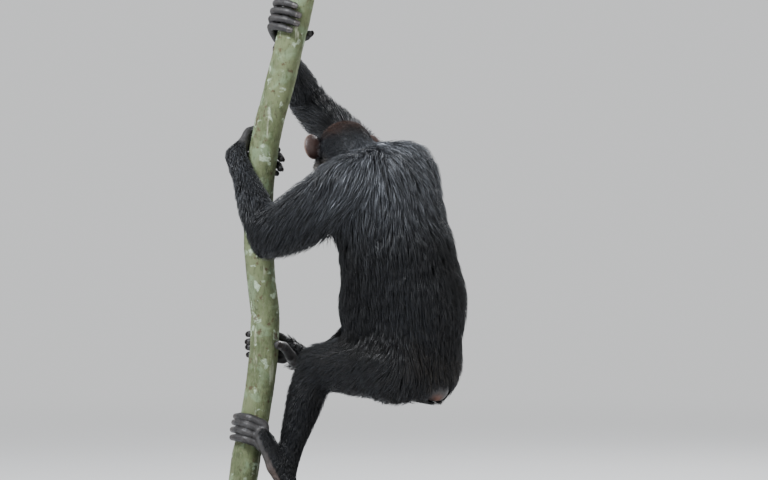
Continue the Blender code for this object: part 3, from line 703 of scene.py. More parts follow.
def model_nails(side, end):
    """A curved plate on the back of each digit's tip, all of one hand or foot in one piece."""
    points, faces = [], []
    across, long = 10, 9
    for root, path, radius, _first in digits_of(side, end):
        line = digit_line(root, path, radius)
        tip, along = line[-1], unit(line[-1] - line[-3])
        up = tip - trunk_frame(tip[2])[0]
        up = unit(up - up @ along * along)
        side_way = np.cross(along, up)
        tip_radius = radius * 0.84
        first = len(points)
        for layer, lift in ((0, 0.0007), (1, -0.0012)):
            for i in range(long):
                s = i / (long - 1)
                half = math.radians(62) * (0.86 + 0.14 * math.sin(math.pi * min(s * 1.2, 1))) * (1 - 0.35 * s**6)
                rise = tip_radius * (0.96 + 0.05 * s) + lift
                for j in range(across):
                    turn = half * (2 * j / (across - 1) - 1)
                    place = tip + along * (radius * (-0.55 + 1.55 * s) - 0.0010 * (j / (across - 1) * 2 - 1) ** 2)
                    drop = 0.0012 * s**2
                    points.append(place + up * (rise * math.cos(turn) - drop) + side_way * rise * math.sin(turn))
        size = across * long

        def at(layer, i, j):
            return first + layer * size + i * across + j

        for i in range(long - 1):
            for j in range(across - 1):
                faces.append((at(0, i, j), at(0, i, j + 1), at(0, i + 1, j + 1), at(0, i + 1, j)))
                faces.append((at(1, i, j), at(1, i + 1, j), at(1, i + 1, j + 1), at(1, i, j + 1)))
        for i in range(long - 1):
            faces.append((at(0, i, 0), at(0, i + 1, 0), at(1, i + 1, 0), at(1, i, 0)))
            faces.append((at(0, i + 1, across - 1), at(0, i, across - 1), at(1, i, across - 1), at(1, i + 1, across - 1)))
        for j in range(across - 1):
            faces.append((at(0, 0, j + 1), at(0, 0, j), at(1, 0, j), at(1, 0, j + 1)))
            faces.append((at(0, long - 1, j), at(0, long - 1, j + 1), at(1, long - 1, j + 1), at(1, long - 1, j)))
    return solid("nails_" + end + "_" + side, points, faces)


def join_union(parts, name):
    """One closed skin from overlapping closed parts."""
    whole = parts[0]
    for part in parts[1:]:
        union = whole.modifiers.new("union", "BOOLEAN")
        union.object = part
        union.operation = "UNION"
        union.solver = "MANIFOLD"
    bpy.context.view_layer.update()
    evaluated = whole.evaluated_get(bpy.context.evaluated_depsgraph_get())
    mesh = bpy.data.meshes.new_from_object(evaluated)
    for part in parts:
        bpy.data.objects.remove(part, do_unlink=True)
    mesh.name = name
    obj = bpy.data.objects.new(name, mesh)
    bpy.context.scene.collection.objects.link(obj)
    return obj


def applied(obj):
    """The object with its modifiers applied."""
    bpy.context.view_layer.update()
    mesh = bpy.data.meshes.new_from_object(obj.evaluated_get(bpy.context.evaluated_depsgraph_get()))
    obj.modifiers.clear()
    obj.data = mesh
    return obj


def model_skin(fields):
    """The whole skin in one piece."""
    parts = []
    for name, field in fields.items():
        points, quads = field.mesh()
        if name == "head":
            points = HEAD + points @ HEAD_AXES.T
        parts.append(solid("skin_" + name, points, quads))
    skin = join_union(parts, "skin")
    thin = skin.modifiers.new("thin", "DECIMATE")
    thin.ratio = SKIN_TRIANGLES / sum(len(face.vertices) - 2 for face in skin.data.polygons)
    skin = applied(skin)
    skin.data.shade_smooth()
    return skin


def world_field(fields):
    """One coarse field of the whole skin, for the hair to follow."""
    points, _triangles = cad_shell(FLESH)
    world = Field(points.min(0) - 0.05, points.max(0) + 0.05, 0.005)
    _cut, cells = world.whole()
    cells = cells.reshape(-1, 3).astype(float)
    d = np.full(len(cells), 0.08)
    for name, field in fields.items():
        local = to_head(cells) if name == "head" else cells
        high = field.low + (np.array(field.shape) - 1) * field.grid
        inside = ((local > field.low) & (local < high)).all(1)
        d[inside] = np.minimum(d[inside], field.sample(local[inside]))
    world.d = d.reshape(world.shape).astype(np.float32)
    return world


# Markings and painted light, the same for the skin and the coat

BLACK = np.array((0.0036, 0.0038, 0.0046))
# pale grey of the upper coat: partly real grey hairs, partly a painted sheen of the light from above
SILVER_AND_SHEEN = np.array((0.170, 0.182, 0.205))
CROWN_BROWN = np.array((0.100, 0.050, 0.034))
RUMP_BROWN = np.array((0.016, 0.011, 0.006))
WHISKER_GREY = np.array((0.30, 0.27, 0.24))
FACE_SKIN = np.array((0.050, 0.036, 0.029))
# ear skin: its own skin tone with a painted red glow of light shining through the thin ear, and the back darker
# with painted shade
EAR_SKIN_AND_GLOW = np.array((0.075, 0.026, 0.018))
EAR_BACK_SHADE_AND_GLOW = np.array((0.030, 0.013, 0.010))
# painted highlight: the pale rim of light on the ear's edge
EAR_RIM_HIGHLIGHT = np.array((0.270, 0.205, 0.170))
HAND_SKIN = np.array((0.021, 0.020, 0.021))
# knuckles: partly their own paler skin, partly a painted highlight along their tops
KNUCKLE_SKIN_AND_HIGHLIGHT = np.array((0.060, 0.058, 0.059))
SOLE_SKIN = np.array((0.150, 0.098, 0.080))
SWELLING_TIP = np.array((0.150, 0.066, 0.045))
DOWN = np.array((0.0, 0.0, -1.0))


def mixed(a, b, share):
    """Colours a turned to b by a share for each place."""
    return a + (b - a) * np.asarray(share)[:, None]


def off_trunk(points):
    """Distance of each place from the trunk's line."""
    near = np.full(len(points), 9.0)
    for a, b in zip(TRUNK_LINE, TRUNK_LINE[1:]):
        along = b - a
        t = np.clip((points - a) @ along / (along @ along), 0, 1)
        near = np.minimum(near, np.linalg.norm(points - a - t[:, None] * along, axis=1))
    return near


def apart(points, place):
    return np.linalg.norm(points - place, axis=1)


def head_share(points):
    return 1 - smooth_step(apart(to_head(points), np.array((0.0, 0.0, -0.018))), 0.088, 0.112)


def face_share(q):
    """1 on the bare face, for places in the head's own frame."""
    oval = (q[:, 1] / 0.0500) ** 2 + ((q[:, 2] + 0.032) / 0.0620) ** 2
    return smooth_step(q[:, 0], 0.020, 0.038) * (1 - smooth_step(oval, 0.75, 1.15))


def ear_share(q):
    near = apart(q * (1, 0, 1) + np.abs(q) * (0, 1, 0), EAR) < 0.042
    return smooth_step(np.abs(q[:, 1]), 0.0570, 0.0615) * near


def sole_share(points, side):
    """1 under the foot, from the heel to the toes."""
    heel, instep, sole = [np.array(place) for place, _radius in SOLES[side]]
    along = unit(sole - heel)
    top = KNEE[side] - instep
    top = unit(top - top @ along * along)
    in_foot = np.zeros(len(points))
    for a, b in ((heel, instep), (instep, sole)):
        t = np.clip((points - a) @ (b - a) / ((b - a) @ (b - a)), 0, 1)
        in_foot = np.maximum(in_foot, 1 - smooth_step(apart(points, a + t[:, None] * (b - a)), 0.030, 0.038))
    return in_foot * (1 - smooth_step((points - instep) @ top, -0.010, 0.004))


def digits_of(side, end):
    """The root, path, radius and bare part of each digit of a hand or foot."""
    if end == "hand":
        digits = [(WRIST[side], path, FINGER_RADIUS, 8) for path in FINGERS[side]]
        return digits + [(WRIST[side], THUMBS[side], FINGER_RADIUS * 1.08, 5)]
    digits = [(np.array(SOLES[side][2][0]), path, TOE_RADIUS, 7) for path in TOES[side]]
    return digits + [(np.array(SOLES[side][1][0]), BIG_TOES[side], TOE_RADIUS * 1.3, 6)]


def digits_share(points, side, end):
    """1 on the bare digits of a hand or foot."""
    near = np.full(len(points), 9.0)
    for root, path, radius, first in digits_of(side, end):
        line = digit_line(root, path, radius)[first:]
        for a, b in zip(line, line[1:]):
            t = np.clip((points - a) @ (b - a) / ((b - a) @ (b - a)), 0, 1)
            near = np.minimum(near, apart(points, a + t[:, None] * (b - a)) - radius)
    return 1 - smooth_step(near, 0.0040, 0.0085)


def ends_share(points):
    """1 on the bare skin of the hands and feet."""
    share = np.zeros(len(points))
    off = off_trunk(points)
    palm = 1 - smooth_step(off, 0.044, 0.052)
    for side in SIDES:
        near = np.flatnonzero(apart(points, WRIST[side]) < 0.170)
        bare = digits_share(points[near], side, "hand")
        share[near] = np.maximum(share[near], np.maximum(bare, palm[near]))
        near = np.flatnonzero(apart(points, np.array(SOLES[side][1][0])) < 0.230)
        bare = np.maximum(digits_share(points[near], side, "foot"), sole_share(points[near], side))
        share[near] = np.maximum(share[near], np.maximum(bare, palm[near]))
    return share


def swelling_share(points):
    return np.exp(-((apart(points, SWELLING) / 0.045) ** 4))


def bare_share(points):
    q = to_head(points)
    head = np.maximum(face_share(q), ear_share(q))
    return np.maximum(np.maximum(head, ends_share(points)), swelling_share(points))


def coat_tone(points, shares, alongs):
    """The coat's colour at each place, with a painted sheen on the upper back, shoulders and forearms."""
    q = to_head(points)
    head = head_share(points)
    torso = shares[:, 0]
    fore = shares[:, [BONE_NAMES.index("fore_" + side) for side in SIDES]].sum(1)
    # painted sheen: paler towards the top of the back and shoulders and on the forearms, where the light falls,
    # mixed with real grey hairs
    sheen_crest = smooth_step(points[:, 2], 0.700, 0.930) * (1 - smooth_step(points[:, 2], 0.935, 0.985)) * (1 - fore)
    lumps = 0.5 + 0.5 * noise(points, 0.045, 5)[:, 0]
    upper = 0.85 * sheen_crest * (0.4 + 0.6 * back_share(points)) + 0.16 * fore
    tone = mixed(BLACK, SILVER_AND_SHEEN, 0.78 * np.clip(upper, 0, 1) * (0.35 + 0.65 * lumps))
    low = torso * smooth_step(alongs[:, 0], 0.62, 1.0) + 0.5 * shares[:, BONE_NAMES.index("thigh_left")]
    tone = mixed(tone, RUMP_BROWN, 0.55 * np.clip(low, 0, 1) * lumps)
    crown = head * smooth_step(q[:, 2], 0.010, 0.040) * smooth_step(q[:, 0], -0.085, -0.020)
    tone = mixed(tone, CROWN_BROWN, 0.62 * crown)
    cheek = head * smooth_step(-q[:, 2], 0.004, 0.040) * smooth_step(q[:, 0], -0.035, 0.020)
    return mixed(tone, WHISKER_GREY, 0.70 * cheek)


def skin_tone(points):
    """The skin's colour at each place: the coat's own, darker, where it is haired."""
    shares, alongs = on_bones(points)
    tone = coat_tone(points, shares, alongs) * 0.35
    q = to_head(points)
    mottle = 0.5 + 0.5 * noise(points, 0.011, 8)[:, :1]
    face = FACE_SKIN * (0.72 + 0.62 * mottle)
    lids = np.exp(-((apart(q * (1, 0, 1) + np.abs(q) * (0, 1, 0), EYE) / 0.020) ** 4))
    face = mixed(face, FACE_SKIN * 1.55, 0.6 * lids)
    lips = np.exp(-(((q[:, 2] + 0.068) / 0.009) ** 2)) * smooth_step(q[:, 0], 0.06, 0.09)
    face = mixed(face, FACE_SKIN * 0.62, 0.8 * lips)
    share = face_share(q)[:, None]
    tone = tone * (1 - share) + face * share
    local = q * (1, 0, 1) + np.abs(q) * (0, 1, 0) - EAR
    flare = math.radians(EAR_FLARE)
    across = local @ (-math.cos(flare), math.sin(flare), 0)
    facing = local @ (math.sin(flare), math.cos(flare), 0)
    ring = np.hypot(across / 0.0222, local[:, 2] / 0.0278)
    # the ear's skin, reddish on its hollow side and dark on its back: own skin, painted red glow of light through
    # the thin ear, and painted shade on the back
    ear = mixed(EAR_BACK_SHADE_AND_GLOW, EAR_SKIN_AND_GLOW * (0.7 + 0.6 * mottle), smooth_step(facing, -0.0055, -0.0020))
    # painted highlight: a thin pale rim of light round the ear's edge, on its back side
    ear = mixed(ear, EAR_RIM_HIGHLIGHT, 0.9 * smooth_step(ring, 0.96, 1.02) * smooth_step(facing, -0.0034, -0.0012))
    share = ear_share(q)[:, None]
    tone = tone * (1 - share) + ear * share
    hand = HAND_SKIN * (0.75 + 0.5 * mottle)
    off = off_trunk(points)
    # lighter skin on the digits' outer tops, away from the trunk: partly the knuckles' own paler skin, partly a
    # painted highlight along them
    hand = mixed(hand, KNUCKLE_SKIN_AND_HIGHLIGHT, 0.75 * smooth_step(off, 0.0530, 0.0575) * mottle[:, 0])
    for side in SIDES:
        near = 1 - smooth_step(apart(points, np.array(SOLES[side][0][0])), 0.045, 0.110)
        hand = mixed(hand, SOLE_SKIN, 0.55 * near * sole_share(points, side) * (0.4 + 0.6 * mottle[:, 0]))
    share = ends_share(points)[:, None]
    tone = tone * (1 - share) + hand * share
    tip = SWELLING + TORSO_AXES @ (-0.006, 0.016, -0.034)
    pink = np.exp(-((apart(points, tip) / 0.024) ** 4)) * smooth_step(mottle[:, 0], 0.1, 0.7)
    bulge = mixed(HAND_SKIN * (1.0 + 0.7 * mottle), SWELLING_TIP, pink)
    share = swelling_share(points)[:, None]
    return tone * (1 - share) + bulge * share


def paint(obj, tones):
    """Gives each vertex its colour, in the attribute that the materials read."""
    layer = obj.data.color_attributes.new("tone", "FLOAT_COLOR", "POINT")
    colours = np.ones((len(tones), 4), np.float32)
    colours[:, :3] = np.clip(tones, 0, 1)
    layer.data.foreach_set("color", colours.ravel())


def vertices_of(obj):
    co = np.empty(len(obj.data.vertices) * 3, np.float32)
    obj.data.vertices.foreach_get("co", co)
    return co.reshape(-1, 3).astype(float)


# The coat

COAT_COUNT = 84000
FACE_HAIR_COUNT = 5000
MOST_IN_A_PIECE = 12400
PATCH = 0.003
RING_WIDTHS = (0.75, 1.0, 0.72)
LOCK_SIZE = 13


def random_places(skin, count, wanted):
    """Random places on the skin, as many on each face as its area times what wanted gives it."""
    co = vertices_of(skin)
    skin.data.calc_loop_triangles()
    corners = np.empty(len(skin.data.loop_triangles) * 3, np.int32)
    skin.data.loop_triangles.foreach_get("vertices", corners)
    a, b, c = (co[corners.reshape(-1, 3)[:, i]] for i in range(3))
    across = np.cross(b - a, c - a)
    weight = np.linalg.norm(across, axis=1) * wanted((a + b + c) / 3)
    total = np.cumsum(weight)
    picks = np.searchsorted(total, (np.arange(count) + RNG.random(count)) / count * total[-1])
    picks = np.minimum(picks, len(total) - 1)
    r, s = np.sqrt(RNG.random(count))[:, None], RNG.random(count)[:, None]
    return a[picks] * (1 - r) + b[picks] * r * (1 - s) + c[picks] * r * s, unit(across[picks])


def coat_density(points):
    """How closely the tufts stand: closest where the hair is short."""
    shares, alongs = on_bones(points)
    length = blend_of(shares, alongs, 5)
    close = 0.75 + 0.55 * smooth_step(-length, -0.055, -0.018) + 1.2 * head_share(points)
    in_view = 1 + 0.25 * shares[:, 0] * back_share(points)
    ragged = (0.22 - 0.14 * head_share(points)) * noise(points, 0.005, 9)[:, 0]
    return close * in_view * (bare_share(points) + ragged < 0.42)


def flow_of(points, shares):
    """The way the hair lies at each place, before it is laid along the skin."""
    flow = np.zeros((len(points), 3))
    for i, (_name, a, b, _radius, _depth, _length, lie, hang) in enumerate(BONES):
        way = lie * unit(b - a)
        flow += shares[:, i : i + 1] * (way + hang * (0.15 + 0.85 * float(way[2] < 0.2)) * DOWN)
    crown = in_head((0.02, 0.0, 0.03))
    spread = np.exp(-((apart(points, crown) / 0.17) ** 2))[:, None]
    flow += 1.3 * spread * unit(points - crown)
    q = to_head(points)
    from_face = unit(q - np.array((0.105, 0.0, -0.022))) @ HEAD_AXES.T
    head = head_share(points)[:, None]
    flow = flow * (1 - head) + (from_face + 0.25 * DOWN) * head
    calm = 1 - 0.55 * (1 - shares[:, :1])
    flow += calm * (0.28 * noise(points, 0.040, 1) + 0.20 * noise(points, 0.013, 2))
    return unit(flow + RNG.normal(0, 0.07, flow.shape))


def grow(world, roots, outs, flow, length, depth, free, rings):
    """The places along each tuft, from under the skin to the tip, and the way out of the coat at each."""
    path, ways = [roots - outs * 0.0012], [outs]
    place, out = roots, outs
    for step in range(1, rings + 1):
        along = unit(flow - (flow * out).sum(1)[:, None] * out)
        along = unit(along * (1 - free[:, None]) + free[:, None] * DOWN)
        place = place + along * (length / rings)[:, None]
        out = world.normal(place, 0.006)
        gap = depth * (1 - (1 - step / rings) ** 1.8) - world.sample(place)
        gap = np.where(gap < 0, gap * (1 - free), gap)
        place = place + out * np.clip(gap, -0.03, 0.03)[:, None]
        path.append(place)
        ways.append(out)
    return path, ways


def gathered(path, pull):
    """Draws the tufts' tips together into locks, each towards its nearest guide."""
    count = len(path[0])
    guides = RNG.choice(count, max(count // LOCK_SIZE, 1), replace=False)
    tree = KDTree(len(guides))
    for i, guide in enumerate(guides):
        tree.insert(path[0][guide], i)
    tree.balance()
    nearest = guides[[tree.find(place)[1] for place in path[0]]]
    for k in range(1, len(path)):
        t = k / (len(path) - 1)
        path[k] = path[k] + (path[k][nearest] - path[k]) * (pull * t**1.3)[:, None]
    return path


def unwrap(points, bone, strip, strips):
    """Each place's spot on the unwrap of the skin round a bone, in one strip of the square."""
    _name, a, b, radius, *_rest = BONES[bone]
    along = unit(b - a)
    turned = axes(along, (0.3, 0.9, 0.1), keep_up=False)
    q = (points - a) @ turned
    reach = 1.4 * radius
    u = (np.arctan2(q[:, 1], q[:, 2]) / (2 * math.pi) + 0.5) * 0.96 + 0.02
    v = np.clip((q[:, 0] + reach) / (np.linalg.norm(b - a) + 2 * reach), 0.01, 0.99)
    return np.stack([(strip + u) / strips, v], 1)


def unwrap_head(points):
    q = to_head(points) + (0.01, 0, 0.01)
    u = (np.arctan2(q[:, 1], -q[:, 0]) / (2 * math.pi) + 0.5) * 0.96 + 0.02
    v = np.arctan2(q[:, 2], np.hypot(q[:, 0], q[:, 1])) / math.pi * 0.96 + 0.5
    return np.stack([u, v], 1)


def tuft_mesh(name, path, ways, width, tones, spots):
    """All the tufts of one piece: each a closed sliver with a ridge on its outer side."""
    rings, count = len(path) - 1, len(path[0])
    size = 3 * rings + 1
    points = np.empty((count, size, 3))
    shade = np.empty((size, 1))
    patch = np.empty((size, 2))
    for k in range(rings):
        along = unit(path[k + 1] - path[max(k - 1, 0)])
        side = unit(np.cross(along, ways[k]))
        ridge = np.cross(side, along)
        half = (width * RING_WIDTHS[min(k, 2) if rings == 3 else k] / 2)[:, None]
        points[:, 3 * k] = path[k] - side * half
        points[:, 3 * k + 1] = path[k] + ridge * half * 0.75
        points[:, 3 * k + 2] = path[k] + side * half
        # painted shade: each tuft darker at its root, down in the coat, and lighter towards its tip
        shade[3 * k : 3 * k + 3] = 0.70 + 0.45 * k / rings
        patch[3 * k : 3 * k + 3] = [(across, 2 * k / rings - 1) for across in (-1, 0, 1)]
    points[:, -1] = path[-1]
    shade[-1], patch[-1] = 1.25, (0, 1)
    faces = [(0, 2, 1)]
    for k in range(rings - 1):
        for i in range(3):
            j = (i + 1) % 3
            faces += [(3 * k + i, 3 * k + j, 3 * k + 3 + j), (3 * k + i, 3 * k + 3 + j, 3 * k + 3 + i)]
    last = 3 * (rings - 1)
    faces += [(last + i, last + (i + 1) % 3, size - 1) for i in range(3)]
    faces = np.array(faces)
    all_faces = (faces[None] + (np.arange(count) * size)[:, None, None]).reshape(-1, 3)
    obj = solid(name, points.reshape(-1, 3), all_faces)
    paint(obj, (tones[:, None] * shade[None]).reshape(-1, 3))
    layer = obj.data.uv_layers.new(name="OFBake")
    uv = spots[:, None] + patch[faces.ravel()][None] * PATCH / 2
    layer.data.foreach_set("uv", uv.astype(np.float32).ravel())
    return obj


def coat_pieces(points, shares, alongs):
    """The name, the places in it and their spots on the unwrap, for each piece of the coat."""
    head = head_share(points) > 0.5
    bone = shares.argmax(1)
    back = back_share(points) > 0.5
    upper = alongs[:, 0] < 0.42
    torso = ~head & (bone == 0)
    left = to_head(points)[:, 1] > 0
    pieces = [("coat_head_left", head & left, None), ("coat_head_right", head & ~left, None)]
    for where, part in (("upper", upper), ("lower", ~upper)):
        pieces += [("coat_back_" + where, torso & back & part, 0), ("coat_front_" + where, torso & ~back & part, 0)]
    for i, name in enumerate(BONE_NAMES[1:], 1):
        pieces.append(("coat_" + name, ~head & (bone == i), i))
    for name, chosen, i in pieces:
        picks = np.flatnonzero(chosen)[:MOST_IN_A_PIECE]
        spots = unwrap_head(points[picks]) if i is None else unwrap(points[picks], i, 0, 1)
        yield name, picks, spots


def model_coat(skin, world, look):
    count = COAT_COUNT
    roots, _faces = random_places(skin, count, coat_density)
    outs = world.normal(roots, 0.006)
    shares, alongs = on_bones(roots)
    head = head_share(roots)
    q = to_head(roots)
    ends = np.maximum(smooth_step(-off_trunk(roots), -0.105, -0.062), 0)
    short = 1 - 0.72 * bare_share(roots)
    cheek = head * smooth_step(-q[:, 2], 0.0, 0.040)
    length = blend_of(shares, alongs, 5) * (1 - head) + (0.020 + 0.010 * cheek) * head
    length = length * short * (1 - 0.35 * ends) * RNG.uniform(0.75, 1.15, count)
    depth = coat_depth(roots, shares, alongs) * (1 - head) + (0.0058 + 0.0045 * cheek) * head
    depth = depth * short * RNG.uniform(0.45, 1.08, count)
    hang = shares @ np.array([bone[7] for bone in BONES])
    under = smooth_step(-outs[:, 2], 0.15, 0.85)
    free = np.clip(0.75 * hang * under * (1 - head) * RNG.uniform(0.3, 1.2, count), 0, 0.8)
    flow = flow_of(roots, shares)
    path, ways = grow(world, roots, outs, flow, length, depth, free, 3)
    path = gathered(path, RNG.uniform(0.30, 0.80, count) * (0.45 + 0.55 * shares[:, 0]) * (1 - 0.5 * head))
    width = (0.0019 - 0.0009 * head - 0.0006 * ends) * RNG.uniform(0.7, 1.25, count) * 1
    streaks = RNG.uniform(0.10, 1.50, (count, 1))
    tones = BLACK + (coat_tone(roots, shares, alongs) - BLACK) * streaks
    tones = tones * np.exp(RNG.normal(-0.1, 0.40, (count, 1)))
    pieces = []
    for name, picks, spots in coat_pieces(roots, shares, alongs):
        if not len(picks):
            continue
        part = [p[picks] for p in path], [w[picks] for w in ways]
        piece = tuft_mesh(name, *part, width[picks], tones[picks], spots)
        pieces.append(finished(piece, look))
    return pieces


def face_density(points):
    """Sparse fine hairs on the face: brows, cheeks and chin."""
    q = to_head(points)
    brow = np.exp(-(((q[:, 2] - 0.017) / 0.006) ** 2)) * smooth_step(q[:, 0], 0.045, 0.06)
    chin = smooth_step(-q[:, 2], 0.074, 0.090) * smooth_step(q[:, 0], 0.04, 0.07)
    eye = apart(q * (1, 0, 1) + np.abs(q) * (0, 1, 0), EYE) < 0.021
    nose = (np.abs(q[:, 1]) < 0.020) & (q[:, 0] > 0.088) & (q[:, 2] > -0.058)
    return (0.16 + 1.4 * brow + 1.8 * chin) * (face_share(q) > 0.45) * ~eye * ~nose


def model_face_hair(skin, world, look):
    roots, outs = random_places(skin, FACE_HAIR_COUNT, face_density)
    q = to_head(roots)
    shares, _alongs = on_bones(roots)
    chin = smooth_step(-q[:, 2], 0.070, 0.090)
    length = (0.0055 + 0.0050 * chin) * RNG.uniform(0.7, 1.3, len(roots))
    depth = length * RNG.uniform(0.20, 0.45, len(roots))
    free = 0.5 * chin
    path, ways = grow(world, roots, outs, flow_of(roots, shares), length, depth, free, 2)
    width = 0.00045 * RNG.uniform(0.7, 1.3, len(roots))
    tones = mixed(BLACK * 1.5, WHISKER_GREY, 0.85 * chin) * np.exp(RNG.normal(0, 0.3, (len(roots), 1)))
    piece = tuft_mesh("coat_face", path, ways, width, tones, unwrap_head(roots))
    return finished(piece, look)


# Materials


class Look:
    """A material built of nodes round one Principled shader, in metres of the model's own frame."""

    def __init__(self, name, colour, rough):
        self.material = bpy.data.materials.new(name)
        self.material.use_nodes = True
        self.tree = self.material.node_tree
        self.shader = self.tree.nodes["Principled BSDF"]
        self.place = self.add("ShaderNodeTexCoord").outputs["Object"]
        self.shader.inputs["Base Color"].default_value = (*colour, 1)
        self.shader.inputs["Roughness"].default_value = rough

    def add(self, kind, **settings):
        node = self.tree.nodes.new(kind)
        for key, value in settings.items():
            setattr(node, key, value)
        return node

    def put(self, socket, value):
        """Links an output to a socket, or sets the socket's own value."""
        if isinstance(value, bpy.types.NodeSocket):
            self.tree.links.new(value, socket)
        elif isinstance(value, (tuple, list, np.ndarray)) and len(value) == 3 and socket.type == "RGBA":
            socket.default_value = (*value, 1)
        else:
            socket.default_value = value

    def set(self, **values):
        """Sets the shader's sockets, whose names are written with _ for a blank."""
        for key, value in values.items():
            self.put(self.shader.inputs[key.replace("_", " ")], value)
        return self

    def stretched(self, scale):
        node = self.add("ShaderNodeMapping")
        self.put(node.inputs["Vector"], self.place)
        node.inputs["Scale"].default_value = scale
        return node.outputs["Vector"]

    def noise(self, size, detail=3.0, rough=0.55, stretch=(1, 1, 1), warp=0.0):
        node = self.add("ShaderNodeTexNoise")
        self.put(node.inputs["Vector"], self.stretched(stretch))
        node.inputs["Scale"].default_value = 1 / size
        node.inputs["Detail"].default_value = detail
        node.inputs["Roughness"].default_value = rough
        node.inputs["Distortion"].default_value = warp
        return node.outputs["Fac"]

    def cells(self, size, feature="DISTANCE_TO_EDGE", stretch=(1, 1, 1)):
        node = self.add("ShaderNodeTexVoronoi", feature=feature)
        self.put(node.inputs["Vector"], self.stretched(stretch))
        node.inputs["Scale"].default_value = 1 / size
        return node.outputs["Distance"]

    def between(self, value, low, high, out_low=0.0, out_high=1.0):
        node = self.add("ShaderNodeMapRange", interpolation_type="SMOOTHSTEP")
        for socket, number in zip(node.inputs, (value, low, high, out_low, out_high)):
            self.put(socket, number)
        return node.outputs["Result"]

    def sum(self, kind, a, b):
        node = self.add("ShaderNodeMath", operation=kind)
        self.put(node.inputs[0], a)
        self.put(node.inputs[1], b)
        return node.outputs["Value"]

    def blend(self, a, b, share, kind="MIX"):
        node = self.add("ShaderNodeMix", data_type="RGBA", blend_type=kind)
        for index, value in ((0, share), (6, a), (7, b)):
            self.put(node.inputs[index], value)
        return node.outputs[2]

    def tone(self):
        return self.add("ShaderNodeAttribute", attribute_name="tone").outputs["Color"]

    def raised(self, height, distance, strength=1.0):
        """Bumps the surface by a height, on top of any earlier bump."""
        node = self.add("ShaderNodeBump")
        node.inputs["Strength"].default_value = strength
        node.inputs["Distance"].default_value = distance
        self.put(node.inputs["Height"], height)
        earlier = self.shader.inputs["Normal"].links
        if earlier:
            self.put(node.inputs["Normal"], earlier[0].from_socket)
        self.put(self.shader.inputs["Normal"], node.outputs["Normal"])
        return self


def coat_look():
    look = Look("hair", BLACK, 0.42)
    streak = look.between(look.noise(0.0035, 2.0), 0.3, 0.7, 0.80, 1.25)
    grey = look.add("ShaderNodeCombineColor")
    for socket in grey.inputs:
        look.put(socket, streak)
    look.set(Base_Color=look.blend(look.tone(), grey.outputs["Color"], 1.0, "MULTIPLY"))
    look.set(Roughness=look.between(look.noise(0.010), 0.3, 0.7, 0.38, 0.50))
    look.set(Specular_IOR_Level=0.40, Sheen_Weight=0.05, Sheen_Roughness=0.40, Sheen_Tint=(0.55, 0.63, 0.78))
    return look.material


def skin_look():
    look = Look("bare_skin", FACE_SKIN, 0.5)
    fine = look.cells(0.0016)
    creases = look.between(fine, 0.0, 0.22)
    pores = look.noise(0.0011, 4.0)
    patches = look.between(look.noise(0.006, 4.0), 0.35, 0.70)
    colour = look.blend(look.tone(), look.blend(look.tone(), (0.55, 0.50, 0.48), 1.0, "MULTIPLY"), patches)
    # painted shade: the skin darker down in its fine creases
    look.set(Base_Color=look.blend(colour, (0.010, 0.008, 0.007), look.between(creases, 0.0, 1.0, 0.16, 0.0)))
    look.set(Roughness=look.between(look.noise(0.004), 0.3, 0.7, 0.42, 0.56))
    look.set(Subsurface_Weight=0.06, Subsurface_Radius=(0.004, 0.002, 0.0012), Specular_IOR_Level=0.45)
    look.raised(creases, 0.00008).raised(pores, 0.00005)
    return look.material


def eye_look():
    look = Look("eyeball", (0.03, 0.02, 0.014), 0.06)
    turn = look.add("ShaderNodeAttribute", attribute_name="gaze_angle").outputs["Fac"]
    fibres = look.between(look.noise(0.0007, 3.0), 0.3, 0.7)
    iris = look.blend((0.080, 0.036, 0.014), (0.036, 0.015, 0.006), fibres)
    iris = look.blend((0.004, 0.003, 0.003), iris, look.between(turn, 0.20, 0.23))
    rim = look.blend(iris, (0.008, 0.005, 0.004), look.between(turn, 0.44, 0.54))
    white = look.blend((0.060, 0.036, 0.026), (0.035, 0.022, 0.018), look.between(look.noise(0.003), 0.4, 0.6))
    look.set(Base_Color=look.blend(rim, white, look.between(turn, 0.56, 0.64)))
    look.set(Roughness=look.between(look.noise(0.004), 0.3, 0.7, 0.10, 0.15))
    look.set(Specular_IOR_Level=0.22)
    return look.material


def nail_look():
    look = Look("nail", (0.05, 0.042, 0.038), 0.35)
    ridges = look.noise(0.0008, 2.0, stretch=(1, 1, 0.4))
    tone = look.between(look.noise(0.005, 3.0), 0.35, 0.65)
    look.set(Base_Color=look.blend((0.016, 0.014, 0.015), (0.052, 0.045, 0.042), tone))
    look.set(Roughness=look.between(ridges, 0.3, 0.7, 0.28, 0.42))
    look.raised(ridges, 0.00012)
    return look.material


